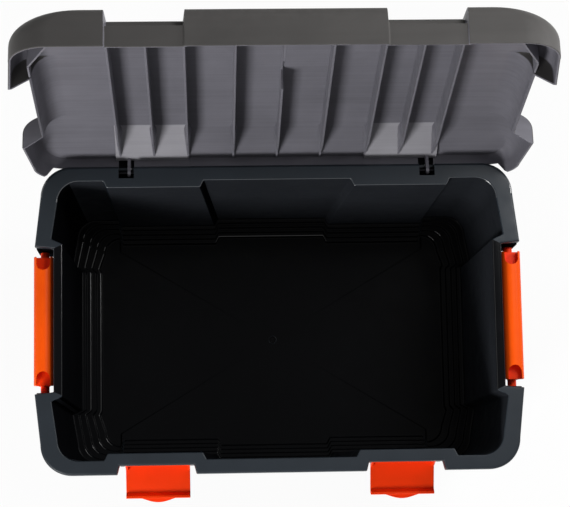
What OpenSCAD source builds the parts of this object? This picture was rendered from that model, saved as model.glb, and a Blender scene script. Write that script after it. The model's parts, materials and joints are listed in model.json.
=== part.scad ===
// Expedition box: a deep moulded tub with a hinged lid, two front latches and two side handles.
// Millimetres, +Z up. The origin is the middle of the footprint, on the surface the box stands on.
// X runs to the right and Y to the back. The lid is drawn open, the latches let down and the
// handles raised.

/* [Body] */
// Width over the rim, at the handles
rim_w = 600; // [560:2:640]
// Depth over the rim
rim_d = 380; // [364:2:420]
// Height of the rim above the surface that the box stands on
rim_h = 288; // [220:1:340]
// Wall thickness of the body and the lid
wall = 3; // [2.6:0.1:3.4]
// Width of the flat rim at the two sides
rim_side = 21; // [19:0.5:24]
// Width of the flat rim at the front and the back
rim_front = 17.5; // [16:0.5:20]
// Corner radius of the rim
rim_corner_r = 38; // [34:1:44]
// How much each side of the rim draws in from the handle bay to the corner
corner_slant = 7; // [4:1:10]
// Drop of the rim's outer lip
lip_h = 16; // [14:1:19]
// Rounding of the rim's outer edge
rim_edge_r = 4; // [3:0.5:5]
// How far each wall leans in on its way down
wall_lean = 7; // [4:1:10]
// Thickness of the floor
floor_t = 3.5; // [3:0.1:5]

/* [Bays and steps] */
// Clear length of each handle bay in the rim
handle_bay_l = 176; // [170:1:184]
// Depth of each handle bay
handle_bay_in = 23; // [22:0.5:26]
// Width of the rim along a handle bay
handle_rim = 11; // [9:0.5:13]
// Distance of the latches from the middle of the box
latch_x = 152; // [145:1:158]
// Width of each latch bay in the rim
latch_bay_w = 100; // [98:1:108]
// Depth of each latch bay
latch_bay_in = 11; // [10:0.5:12]
// Width of the rim along a latch bay
latch_rim = 15; // [14:0.5:17]
// Width of the vertical channels in the front and back walls
channel_w = 122; // [116:1:130]
// How far the channels spread towards the middle on their way to the floor
channel_spread = 20; // [8:1:22]
// Number of steps between the walls and the floor
steps = 4; // [2:1:4]
// Height of one step
step_rise = 6; // [4:0.5:8]
// Tread of one step at the sides
step_side = 9; // [7:0.5:9.5]
// Tread of one step at the front and the back
step_front = 5.5; // [4:0.5:6]

/* [Lid] */
// How far the lid is open, in degrees
lid_open = 101; // [60:1:101]
// Running gap between the lid's skirt and the rim
lid_gap = 3.5; // [3:0.1:4]
// Height of the lid's top above the rim
lid_rise = 31; // [29:1:36]
// How far the skirt reaches down over the rim
lid_overlap = 14; // [10:0.5:15]
// Gap between the rim and the edges of the lid that close on top of it
lid_seat = 0.8; // [0.6:0.1:1.2]
// Length of the rounded shoulder at each side of the lid
shoulder_l = 46; // [34:1:50]
// Rounding of the lid's front top edge
lid_edge_r = 6; // [4:0.5:7]
// Length of the slope towards the hinges
slope_l = 72; // [50:1:90]
// Drop of that slope
slope_drop = 15; // [10:1:15]
// How far the back edge is set in over the hinges
hinge_face = 0.6; // [0.4:0.1:1]
// Width of each latch notch in the lid's front edge
notch_w = 84; // [82:1:90]
// Depth of the latch notch from front to back
notch_in = 13.5; // [12:0.5:15]
// Height of the latch ledge above the rim, at its back
ledge_z = 14; // [12:0.5:15]
// Drop of the ledge towards the front
ledge_fall = 4; // [3.6:0.1:4.4]
// How far the skirt's face is set back at a latch
notch_face = 2; // [1.4:0.1:2.4]
// Height of the upright face behind the ledge
notch_step = 6.5; // [5:0.5:10]
// Length of the slope from that face up to the lid's top
notch_slope_l = 25; // [15:1:30]
// Thickness of the ribs under the lid
rib_t = 2.4; // [1.8:0.1:3]
// Distance of the ribs beside the middle one
rib_mid_x = 54; // [48:1:60]

/* [Hinges] */
// Distance of the hinges from the middle of the box
hinge_x = 187; // [182:1:190]
// Distance of the hinge line from the rim's back edge
hinge_in = 7; // [6.5:0.1:7.4]
// Depth of the hinge line under the top of the rim
hinge_drop = 8; // [7.6:0.1:8.4]
// Diameter of the hinge pins
hinge_pin_d = 5; // [4:0.1:5.4]
// Width of the slot for a hinge tongue
slot_w = 19; // [16:0.5:20]
// Depth of that slot under the top of the rim
slot_h = 19; // [18.5:0.5:22]
// Thickness of a hinge tongue
tongue_t = 4; // [3:0.5:6]
// Thickness of the knuckle on each side of a slot
knuckle_t = 6; // [5:0.5:7]

/* [Latches] */
// How far the latches are let down, in degrees from closed
latch_open = 107; // [60:1:108]
// Width of a latch
latch_w = 78; // [72:0.5:80]
// Thickness of the latch plate
latch_t = 3.5; // [3:0.1:4]
// Distance of the latch pin behind the rim's front edge
latch_in = 15.5; // [15.5:0.1:16.5]
// Depth of the latch pin under the top of the rim
latch_drop = 33; // [32:0.5:36]
// Diameter of the latch pins
latch_pin_d = 5; // [4:0.1:5.2]
// Diameter of the latch barrel
barrel_d = 9; // [8.6:0.1:9]
// Reach of the hook over the ledge
hook_reach = 6; // [6:0.5:9]
// Height of the finger tab above the hook
tab_h = 8; // [4:0.5:8]

/* [Handles] */
// Length of a grip
grip_l = 159; // [150:1:160]
// Width of a grip
grip_w = 24; // [22:0.5:24]
// Depth of a grip from its crown to its edges
grip_h = 17; // [15:0.5:19]
// Wall thickness of a grip
grip_t = 3; // [2.4:0.1:3.4]
// Depth of the grip's crown under the top of the rim
grip_drop = 4; // [3:0.5:6]
// Distance of the grip's middle from the rim's side edge
handle_in = 10; // [9.6:0.1:10]
// Depth of the handle's pivot under the top of the rim
pivot_drop = 38; // [36:1:44]
// Diameter of the handle's pivot stubs
stub_d = 8; // [6:0.2:9]

/* [Hidden] */

body_color = [0.16, 0.17, 0.19];
lid_color = [0.37, 0.37, 0.39];
orange = [0.96, 0.33, 0.05];
steel = [0.72, 0.73, 0.75];

// Radial clearance of a pin in a part that turns on it, and in a part that holds it
turn_fit = 0.05;
hold_fit = 0.02;
// Thickness of the lid's back wall where it is recessed round a hinge tongue
hinge_skin = 1;
// Small overlap that fuses two shapes of one piece
bond = 0.4;
// Distance by which a cut runs past the face that it opens
past = 1;
// Side clearance of a latch between its lugs, and of a handle between its cheeks
side_fit = 0.4;

inner_corner_r = rim_corner_r - 12;
inner_edge_r = 2;
bay_slope = 3;
latch_bay_slope = 4;
inner_bay_slope = 8;
channel_slope = 6;
channel_in = latch_bay_in + latch_rim - rim_front;
inner_bay_in = handle_bay_in + handle_rim - rim_side;
corner_n = 8;
ramp_n = 3;

steps_h = floor_t + steps * step_rise;
steps_side = steps * step_side;
steps_front = steps * step_front;

hinge_y = rim_d / 2 - hinge_in;
hinge_z = rim_h - hinge_drop;
slot_front = hinge_y - 8;
latch_y = -rim_d / 2 + latch_in;
latch_z = rim_h - latch_drop;
handle_x = rim_w / 2 - handle_in;
pivot_z = rim_h - pivot_drop;

lid_out = lid_gap + wall;
lid_back_r = rim_corner_r;
lid_front = rim_d / 2 + lid_out;
slope_top = lid_rise - slope_drop;
rib_x = [0, rib_mid_x, latch_x - notch_w / 2, latch_x, latch_x + notch_w / 2];

// A plan outline is described by
// [half width at the bays, half width at the corners, front, back, front radius, back radius,
//  half bay length, bay slope, bay depth, half width of the bays at front and back, their slope,
//  front bay depth, back bay depth, distance of those bays from the middle]
function ramp(a, b) = [for (i = [0:ramp_n])
    let (t = i / ramp_n, s = t * t * (3 - 2 * t)) [a[0] + (b[0] - a[0]) * t, a[1] + (b[1] - a[1]) * s]];
function flip(points) = [for (p = points) [p[1], p[0]]];
function arc(x, y, r, from) = [for (i = [0:corner_n])
    let (a = from + 90 * i / corner_n) [x + r * cos(a), y + r * sin(a)]];

function right_half(p) = let (
        half = p[0], corner = p[1], front = p[2], back = p[3], rf = p[4], rb = p[5],
        bay = p[6], bay_s = p[7], bay_d = p[8], fw = p[9], fs = p[10], fd = p[11], bd = p[12], fx = p[13])
    concat(
        ramp([fx - fw, -front], [fx - fw + fs, fd - front]),
        ramp([fx + fw - fs, fd - front], [fx + fw, -front]),
        arc(corner - rf, rf - front, rf, -90),
        flip(ramp([-bay, half], [bay_s - bay, half - bay_d])),
        flip(ramp([bay - bay_s, half - bay_d], [bay, half])),
        arc(corner - rb, back - rb, rb, 0),
        ramp([fx + fw, back], [fx + fw - fs, back - bd]),
        ramp([fx - fw + fs, back - bd], [fx - fw, back]));

function outline(p) = let (r = right_half(p), n = len(r))
    concat(r, [for (i = [n - 1:-1:0]) [-r[i][0], r[i][1]]]);

// The same outline moved outwards by o on every side
function grown(p, o) = let (bay_k = tan(atan2(p[8], p[7]) / 2), front_k = tan(atan2(p[11], p[10]) / 2))
    [p[0] + o, p[1] + o, p[2] + o, p[3] + o, p[4] + o, p[5] + o,
     p[6] - o * bay_k, p[7], p[8], p[9] - o * front_k, p[10], p[11], p[12], p[13]];

// The outline without its bays, moved in as far as its corners allow
function plain(p) = let (o = min(p[4], p[5]) - 4)
    [p[0] - o, p[1] - o, p[2] - o, p[3] - o, p[4] - o, p[5] - o,
     p[6], p[7], 0, p[9], p[10], 0, 0, p[13]];

// Closed skin through rings of [height, plan], with a flat cap at each end
module loft(rings) {
    last = rings[len(rings) - 1];
    all = concat([[rings[0][0], plain(rings[0][1])]], rings, [[last[0], plain(last[1])]]);
    n = len(outline(rings[0][1]));
    m = len(all);
    points = concat([for (r = all) for (q = outline(r[1])) [q[0], q[1], r[0]]],
                    [[0, 0, rings[0][0]], [0, 0, last[0]]]);
    sides = [for (k = [0:m - 2]) for (i = [0:n - 1]) let (j = (i + 1) % n, a = k * n, b = a + n)
        each [[a + i, b + i, b + j], [a + i, b + j, a + j]]];
    caps = [for (i = [0:n - 1]) let (j = (i + 1) % n, b = (m - 1) * n)
        each [[m * n, i, j], [m * n + 1, b + j, b + i]]];
    polyhedron(points, concat(sides, caps));
}

rim_plan = [rim_w / 2, rim_w / 2 - corner_slant, rim_d / 2, rim_d / 2, rim_corner_r, rim_corner_r,
            handle_bay_l / 2 + bay_slope, bay_slope, handle_bay_in,
            latch_bay_w / 2, latch_bay_slope, latch_bay_in, 0, latch_x];

// Inside of the tub at a height, moved in by side and by front where the steps are
function tub_plan(z, side, front) = let (
        down = (rim_h - z) / rim_h, in = wall_lean * down,
        half = rim_w / 2 - rim_side - in - side,
        deep = rim_d / 2 - rim_front - in - front,
        share = side / max(steps_side, 1),
        r = inner_corner_r - 4 * share)
    [half, half - corner_slant, deep, deep, r, r,
     handle_bay_l / 2 + inner_bay_in, inner_bay_slope, inner_bay_in * (1 - 0.8 * share),
     channel_w / 2 + 0.3 * channel_spread * down, channel_slope, channel_in, channel_in,
     latch_x - 0.7 * channel_spread * down];

function wall_plan(z) = grown(tub_plan(z, 0, 0), wall);

module tub() {
    foot = grown(tub_plan(0, steps_side, steps_front), wall);
    lip = grown(rim_plan, -wall);
    round_rings = [for (a = [0:30:90])
        [rim_h - rim_edge_r + rim_edge_r * sin(a), grown(rim_plan, rim_edge_r * cos(a) - rim_edge_r)]];
    step_rings = [for (k = [0:steps - 1]) let (z = steps_h - k * step_rise)
        each [[z, tub_plan(z, k * step_side, k * step_front)],
              [z, tub_plan(z, (k + 1) * step_side, (k + 1) * step_front)]]];
    loft(concat(
        [[0, foot],
         [steps_h, wall_plan(steps_h)],
         [rim_h - wall, wall_plan(rim_h - wall)],
         [rim_h - wall, lip],
         [rim_h - lip_h, lip],
         [rim_h - lip_h, rim_plan]],
        round_rings,
        [[rim_h, grown(tub_plan(rim_h, 0, 0), inner_edge_r)],
         [rim_h - inner_edge_r, tub_plan(rim_h - inner_edge_r, 0, 0)]],
        step_rings,
        [[floor_t, tub_plan(floor_t, steps_side, steps_front)]]));
}

module along_x(x, l) { translate([x - l / 2, 0, 0]) rotate([90, 0, 90]) linear_extrude(l) children(); }
module along_y(y, l) { translate([0, y + l / 2, 0]) rotate([90, 0, 0]) linear_extrude(l) children(); }

lug_t = 5;
lug_x = latch_w / 2 + side_fit + lug_t / 2;
lug_root = -rim_d / 2 + latch_bay_in + latch_rim - bond;
cheek_t = 5;
cheek_y = handle_bay_l / 2 + side_fit + cheek_t / 2;
cheek_root = rim_w / 2 - handle_bay_in - handle_rim + bond;

// Lug that carries one end of a latch pin, under the rim
module latch_lug(x) {
    along_x(x, lug_t) {
        polygon([[lug_root, rim_h - lip_h + bond * 4], [latch_y - 3, rim_h - lip_h + bond * 4],
                 [latch_y - barrel_d / 2, latch_z], [latch_y - 2, latch_z - barrel_d / 2 + 0.5],
                 [lug_root, latch_z - barrel_d * 2]]);
        translate([latch_y, latch_z]) circle(d = barrel_d, $fn = 48);
    }
}

// Cheek that carries one end of a handle, on the right side of the box
module handle_cheek(y) {
    along_y(y, cheek_t)
        polygon([[cheek_root, rim_h - wall - bond], [rim_w / 2 - wall / 2, rim_h - lip_h + bond * 4],
                 [rim_w / 2 - wall / 2, pivot_z - stub_d / 2 - 3],
                 [rim_w / 2 - wall - 4, pivot_z - stub_d / 2 - 7],
                 [cheek_root, pivot_z - stub_d / 2 - 16]]);
}

// Pocket under the rim that a hinge slot is cut into, with a knuckle on each side
module hinge_pocket(x) {
    top = rim_h - wall + bond;
    face = rim_d / 2 - wall + bond;
    floor_z = rim_h - slot_h;
    along_x(x, slot_w + 2 * knuckle_t)
        polygon([[slot_front - wall, top], [face, top], [face, floor_z], [rim_d / 2, floor_z],
                 [rim_d / 2, floor_z - wall], [slot_front - wall, floor_z - wall]]);
}

module body() {
    color(body_color) difference() {
        union() {
            tub();
            for (side = [-1, 1]) {
                for (end = [-1, 1]) {
                    latch_lug(side * latch_x + end * lug_x);
                    mirror([side < 0 ? 1 : 0, 0, 0]) handle_cheek(end * cheek_y);
                }
                hinge_pocket(side * hinge_x);
            }
        }
        for (side = [-1, 1]) {
            along_x(side * hinge_x, slot_w)
                polygon([[slot_front, rim_h + past], [rim_d / 2 + past, rim_h + past],
                         [rim_d / 2 + past, rim_h - slot_h], [slot_front, rim_h - slot_h]]);
            along_x(side * hinge_x, slot_w + 2 * knuckle_t + past)
                translate([hinge_y, hinge_z]) circle(d = hinge_pin_d + 2 * hold_fit, $fn = 48);
            along_x(side * latch_x, 2 * lug_x + lug_t + past)
                translate([latch_y, latch_z]) circle(d = latch_pin_d + 2 * hold_fit, $fn = 48);
            for (end = [-1, 1])
                along_y(end * cheek_y, cheek_t + past)
                    translate([side * handle_x, pivot_z]) circle(d = stub_d + 2 * turn_fit, $fn = 48);
        }
    }
}

// The lid is drawn closed, with the rim's top at height 0, and then turned open.
// Rounding of the lid's shoulders and front edge, as shares of their full size from the top down
lid_fall = [[0, 1, 1], [0.05, 0.65, 0.55], [0.16, 0.38, 0.2], [0.36, 0.18, 0], [0.62, 0.05, 0],
            [0.9, 0, 0]];

// Outline of the lid with its shoulder in by side and its front edge in by front
function lid_plan(base, back, side, front) = [
    base[0] - side, base[1] - side, base[2] - front, back - front, base[4] - front,
    lid_back_r + base[4] - rim_corner_r - lid_out - front,
    base[6], base[7], max(base[8] - side * 0.38, 0.6),
    base[9], base[10], base[11], base[12], base[13]];

skirt_base = let (g = grown(rim_plan, lid_out))
    [g[0], g[1], g[2], g[3], g[4], g[5], g[6], g[7], g[8],
     notch_w / 2, latch_bay_slope, notch_face, hinge_face, latch_x];

module lid_skin(o, top, bottom) {
    base = grown(skirt_base, o);
    rings = [for (f = lid_fall)
        [top - f[0] * (lid_rise - 1), lid_plan(base, rim_d / 2 + o, shoulder_l * f[1], lid_edge_r * f[2])]];
    loft(concat([[bottom, lid_plan(base, rim_d / 2 + o, 0, 0)]], [for (i = [len(rings) - 1:-1:0]) rings[i]]));
}

// Everything above the slope towards the hinges, raised or lowered by z
module above_slope(z) {
    reach = rim_d;
    along_x(0, 2 * rim_w)
        polygon([[rim_d / 2 - slope_l, lid_rise + z],
                 [rim_d / 2 + slope_l, lid_rise - 2 * slope_drop + z],
                 [rim_d / 2 + slope_l, reach], [rim_d / 2 - slope_l, reach]]);
}

// Space of a latch notch above its ledge, or the wall round it when grown by g
module latch_notch(side, g) {
    back = -lid_front + notch_in + g;
    fall = ledge_fall / notch_in;
    rise = (lid_rise - ledge_z - notch_step) / notch_slope_l;
    step_z = ledge_z + notch_step + g * (rise - norm([1, rise]));
    along_x(side * latch_x, notch_w + 2 * g)
        polygon([[back + (lid_rise + past - step_z) / rise, lid_rise + past], [back, step_z],
                 [back, ledge_z - g * (1 + fall)],
                 [-lid_front - past, ledge_z - g - (notch_in + past) * fall],
                 [-lid_front - past, lid_rise + past]]);
}

module lid_ribs() {
    crease = rim_d / 2 - slope_l;
    rear = [[crease, lid_seat], [rim_d / 2 - 20, slope_top - 2 * wall], [rim_d / 2 - wall, slope_top - wall],
            [rim_d / 2 - wall, lid_rise], [-lid_front, lid_rise], [-lid_front, lid_seat]];
    window = [[-122, lid_seat], [-119, lid_rise - wall - 5], [-49, lid_rise - wall - 5], [-46, lid_seat]];
    for (side = [-1, 1]) for (x = rib_x)
        if (x > 0 || side > 0)
            along_x(side * x, rib_t) polygon(x > 0 ? rear : concat(rear, window));
}

// Diagonal rib across a front corner, carried on straight to the end of the handle bay
module corner_rib(side) {
    a = [side * (rim_w / 2 - handle_bay_in + lid_gap + wall - rib_t / 2), -handle_bay_l / 2 - 24];
    b = [side * (rim_w / 2 - 56), -lid_front];
    d = b - a;
    translate([a[0], a[1], lid_seat]) {
        rotate([0, 0, atan2(d[1], d[0])]) translate([0, -rib_t / 2, 0]) cube([norm(d), rib_t, lid_rise]);
        translate([-rib_t / 2, 0, 0]) cube([rib_t, 26, lid_rise]);
    }
}

// Lowered ceiling over a hinge
module hinge_block(side) {
    y = rim_d / 2;
    along_x(side * (latch_x + 3), notch_w + 6)
        polygon([[y - slope_l, lid_rise], [y - slope_l, lid_rise - wall], [y - 20, slope_top - wall - 3],
                 [y - wall, slope_top - wall - 3], [y - wall, lid_rise]]);
}

// Tongue that turns on a hinge pin, with its eye in the slot of the rim
module hinge_tongue(side) {
    eye_d = hinge_pin_d + 5;
    difference() {
        along_x(side * hinge_x, tongue_t) {
            translate([hinge_y, -hinge_drop]) circle(d = eye_d, $fn = 48);
            polygon([[hinge_y - 2.5, -hinge_drop], [hinge_y + 5, -hinge_drop],
                     [rim_d / 2 - 0.3, -2], [rim_d / 2 - 0.3, slope_top - bond],
                     [hinge_y - 2.5, slope_top - bond]]);
        }
        along_x(side * hinge_x, slot_w + past)
            translate([hinge_y, -hinge_drop]) circle(d = hinge_pin_d + 2 * turn_fit, $fn = 48);
    }
}

// Space taken out under the lid's edges, where they close on top of the rim
module seat_cuts() {
    low = -lid_overlap - past;
    bay = skirt_base[6] + wall + past;
    inside = rim_w / 2 - handle_bay_in - 2 * wall;
    skirt = rim_w / 2 + lid_gap;
    for (side = [-1, 1])
        along_y(0, 2 * bay)
            polygon([for (q = [[inside, low], [inside, lid_seat], [inside + 3 * wall, lid_seat],
                               [skirt, -lid_overlap], [skirt, low]]) [side * q[0], q[1]]]);
    near = rim_w / 2 - corner_slant - 15;
    far = rim_w / 2 - corner_slant - 6;
    along_y(rim_d / 2, 2 * rim_corner_r)
        polygon([[-far, low], [-near, lid_seat], [near, lid_seat], [far, low]]);
}

module lid_closed() {
    difference() {
        lid_skin(0, lid_rise, -lid_overlap);
        above_slope(0);
        for (side = [-1, 1]) latch_notch(side, 0);
        difference() {
            lid_skin(-wall, lid_rise - wall, -lid_overlap - past);
            above_slope(-wall);
            for (side = [-1, 1]) {
                latch_notch(side, wall);
                hinge_block(side);
                corner_rib(side);
            }
            lid_ribs();
        }
        seat_cuts();
        for (side = [-1, 1])
            translate([side * hinge_x - slot_w / 2, rim_d / 2 - 2 * wall, 0])
                cube([slot_w, 2 * wall - hinge_face - hinge_skin, slope_top - wall - 2]);
    }
    for (side = [-1, 1]) hinge_tongue(side);
}

module lid() {
    color(lid_color)
        translate([0, hinge_y, hinge_z]) rotate([-lid_open, 0, 0])
            translate([0, -hinge_y, rim_h - hinge_z]) lid_closed();
}

// The latch is drawn closed round its pin, and then turned down.
latch_face = lid_front - notch_face + 0.5 + latch_y;
hook_z = ledge_z + latch_drop + 0.9;
ledge_k = ledge_fall / notch_in;

module latch(side) {
    tip = -latch_face + hook_reach;
    tip_z = hook_z - ledge_k * (notch_in - (lid_front + latch_y - latch_face) - hook_reach);
    root_z = tip_z - ledge_k * hook_reach;
    top = tip_z + latch_t;
    translate([side * latch_x, latch_y, latch_z]) rotate([latch_open, 0, 0]) {
        difference() {
            union() {
                along_x(0, latch_w) {
                    circle(d = barrel_d, $fn = 48);
                    polygon([[-latch_face - latch_t, 1], [-latch_face, 1], [-latch_face, root_z],
                             [tip, tip_z], [tip + 1, top - 1], [tip, top], [-latch_face - latch_t + 1, top],
                             [-latch_face - latch_t, top - 1]]);
                    polygon([[-barrel_d / 2 + 1, -2.6], [0, -barrel_d / 2], [0, -barrel_d / 2 + 3],
                             [-latch_face, 4.5], [-latch_face - latch_t + 0.5, 1]]);
                }
                for (end = [-1, 1])
                    along_x(end * (latch_w - wall) / 2, wall)
                        polygon([[0, barrel_d / 2], [-barrel_d / 2, 0], [-latch_face, 1],
                                 [-latch_face - 1, latch_drop - lid_overlap - 5],
                                 [-latch_face + 4, latch_drop - lid_overlap - 5]]);
            }
            along_x(0, latch_w + past) circle(d = latch_pin_d + 2 * turn_fit, $fn = 48);
        }
        intersection() {
            translate([0, -latch_face, top - 26]) rotate([90, 0, 0])
                cylinder(r = 26 + tab_h, h = latch_t, $fn = 96);
            translate([-latch_w / 2, -latch_face - latch_t, top - latch_t])
                cube([latch_w, latch_t, tab_h + latch_t]);
        }
    }
}

module front_latch_left() { color(orange) latch(-1); }
module front_latch_right() { color(orange) latch(1); }

module cross_pin(x, y, z, l, d) {
    color(steel) translate([0, y, z]) along_x(x, l) circle(d = d, $fn = 48);
}
module latch_pin_left() { cross_pin(-latch_x, latch_y, latch_z, 2 * lug_x + lug_t, latch_pin_d); }
module latch_pin_right() { cross_pin(latch_x, latch_y, latch_z, 2 * lug_x + lug_t, latch_pin_d); }
module hinge_pin_left() { cross_pin(-hinge_x, hinge_y, hinge_z, slot_w + 2 * knuckle_t, hinge_pin_d); }
module hinge_pin_right() { cross_pin(hinge_x, hinge_y, hinge_z, slot_w + 2 * knuckle_t, hinge_pin_d); }

// Section of the grip, a half tube with straight edges
module grip_section(o) {
    r = grip_w / 2 - o;
    translate([0, pivot_drop - grip_drop - grip_w / 2]) {
        circle(r = r, $fn = 64);
        translate([-r, -grip_w]) square([2 * r, grip_w]);
    }
}

module handle() {
    low = pivot_drop - grip_drop - grip_h;
    half = grip_w / 2 - grip_t + bond;
    arm_t = 4;
    web_t = 2.5;
    slot_r = grip_w * 0.31;
    end_y = grip_l / 2;
    slot_y = end_y - grip_w * 0.275;
    web_l = end_y - slot_y + slot_r + 2;
    difference() {
        union() {
            along_y(0, grip_l) difference() {
                grip_section(0);
                grip_section(grip_t);
                translate([-grip_w, low - 2 * grip_w]) square([2 * grip_w, 2 * grip_w]);
            }
            for (end = [-1, 1]) {
                along_y(end * (end_y - arm_t / 2), arm_t) {
                    polygon([[-stub_d / 2 - 2, 0], [stub_d / 2 + 2, 0], [half, low + 1],
                             [half, low + web_t], [-half, low + web_t], [-half, low + 1]]);
                    circle(d = stub_d + 4, $fn = 48);
                }
                along_y(end * (end_y - web_l / 2), web_l) translate([-half, low]) square([2 * half, web_t]);
                along_y(end * (end_y + cheek_y - cheek_t / 2 - side_fit) / 2,
                        cheek_y - cheek_t / 2 - side_fit - end_y + bond) circle(d = stub_d + 3, $fn = 48);
                along_y(end * (end_y - arm_t + cheek_y + cheek_t / 2) / 2,
                        cheek_y + cheek_t / 2 - end_y + arm_t) circle(d = stub_d, $fn = 48);
            }
        }
        for (end = [-1, 1]) {
            translate([0, end * slot_y, low + web_t]) cylinder(r = slot_r, h = grip_w, $fn = 48);
            translate([-slot_r, end > 0 ? slot_y : -slot_y - grip_w, low + web_t])
                cube([2 * slot_r, grip_w, grip_w]);
        }
    }
}

module side_handle_left() {
    color(orange) translate([-handle_x, 0, pivot_z]) handle();
}
module side_handle_right() {
    color(orange) translate([handle_x, 0, pivot_z]) handle();
}

body();
lid();
hinge_pin_left();
hinge_pin_right();
front_latch_left();
front_latch_right();
latch_pin_left();
latch_pin_right();
side_handle_left();
side_handle_right();
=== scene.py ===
import json
import math
from typing import NamedTuple

import bmesh
import bpy
import numpy as np
from bpy.props import FloatProperty, FloatVectorProperty, IntProperty, PointerProperty
from mathutils import Matrix, Vector


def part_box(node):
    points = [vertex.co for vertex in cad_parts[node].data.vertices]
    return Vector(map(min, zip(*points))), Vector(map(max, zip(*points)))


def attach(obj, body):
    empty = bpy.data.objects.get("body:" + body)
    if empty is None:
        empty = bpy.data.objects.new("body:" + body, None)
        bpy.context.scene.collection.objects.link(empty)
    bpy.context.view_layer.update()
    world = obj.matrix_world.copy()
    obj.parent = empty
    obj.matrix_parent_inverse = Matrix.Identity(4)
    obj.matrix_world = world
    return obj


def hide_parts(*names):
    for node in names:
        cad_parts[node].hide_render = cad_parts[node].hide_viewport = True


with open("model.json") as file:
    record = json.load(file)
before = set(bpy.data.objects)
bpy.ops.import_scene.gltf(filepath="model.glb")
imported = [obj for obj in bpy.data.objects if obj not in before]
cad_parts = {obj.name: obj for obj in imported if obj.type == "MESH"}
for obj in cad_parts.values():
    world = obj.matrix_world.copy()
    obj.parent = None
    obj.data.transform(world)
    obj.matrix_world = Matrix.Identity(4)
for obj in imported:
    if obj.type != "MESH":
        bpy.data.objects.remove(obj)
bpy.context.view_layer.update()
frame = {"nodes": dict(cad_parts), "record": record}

bl_info = {
    "name": "Expedition Box",
    "version": (1, 0, 0),
    "blender": (4, 5, 0),
    "location": "View3D > Sidebar > Expedition Box",
    "description": "Moulded storage box with an open lid, swing latches and folding handles",
    "category": "Add Mesh",
}

BODY_LOW, BODY_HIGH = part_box("body")
JOINTS = {joint["name"]: joint for joint in frame["record"]["behaviour"]["joints"]}
PIVOTS = {name: Vector(joint["pos_m"]) for name, joint in JOINTS.items()}
LID_OPEN = math.radians(JOINTS["lid_hinge"]["range_deg"][1])
LATCH_OPEN = math.radians(JOINTS["latch_right_pivot"]["range_deg"][1])
HINGE = PIVOTS["lid_hinge"]
LATCH_PIVOT = PIVOTS["latch_right_pivot"]
HANDLE_PIVOT = PIVOTS["handle_right_pivot"]
SIDES = (-1, 1)
NAMED_SIDES = ((-1, "left"), (1, "right"))
WHITE = (1, 1, 1, 1)

# Number of steps across the slope of a bay, and round a quarter turn of a corner
RAMP_STEPS = 8
CORNER_STEPS = 14
# Number of steps across a rounded edge
EDGE_STEPS = 4
# Edges that turn more than this stay sharp
SHARP_ANGLE = math.radians(38)
# How far a piece laps into the one that carries it, or a cutter past what it cuts
LAP = 0.001
# How much wider than its pin a hole is, where the pin is held fast and where it turns
PRESS_FIT = 0.00004
RUNNING_FIT = 0.0001
# Corner radius that an outline without bays keeps
PLAIN_R = 0.004
# How far ribs and blocks sink into the lid's top, and how far behind the skirt's face the ribs end
RIB_SINK = 0.0015
RIB_INSET = 0.002

# Finishes inside the tub, and their numbers among its materials. The tub is one plastic: its gloss is
# varied from place to place so that light and shade fall as in the photo, and its tone too: painted shade
# darkens the floor, the steps and the left wall, and painted light lightens the other walls
INSIDE_FINISHES = ("polished slate with painted shade", "glossy slate edge", "satin slate with painted light",
                   "dull slate with painted shade", "glossy slate rim")
POLISHED_SHADE, GLOSSY_EDGE, SATIN_LIT, DULL_SHADE, GLOSSY_RIM = range(1, 6)
# Where the edges of the floor steps shine in a corner, by whether it is on the right and at the back:
# the first step that does, and the least and the most sideways that a shining edge faces
CORNER_SHINE = {(False, False): (0, 0.55, 0.92), (False, True): (0, 0.92, 0.985),
                (True, True): (2, 0.45, 0.75)}

# Place, target and width of each lamp
LAMPS = {
    "key_light": ((-1.12, -1.45, 1.02), (0, 0.1, 0.4), 0.68),
    "side_light": ((1.3, 0.45, 0.95), (0.3, 0.1, 0.4), 0.3),
    "top_light": ((0.72, 0.50, 1.50), (0.1, 0.1, 0.4), 0.5),
}
# Ways that the back and the right side of the camera face
CAMERA_BACK = (-0.03858, -0.14290, 0.98899)
CAMERA_RIGHT = (0.99918, -0.01733, 0.03647)


def length(name, description, default):
    """A size in metres that the sidebar can change."""
    return FloatProperty(name=name, description=description, default=default, unit="LENGTH", precision=4)


def colour(name, description, default):
    """A colour of plastic or metal that the sidebar can change."""
    return FloatVectorProperty(name=name, description=description, default=default, subtype="COLOR",
                               size=3, min=0.0, max=1.0)


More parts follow.
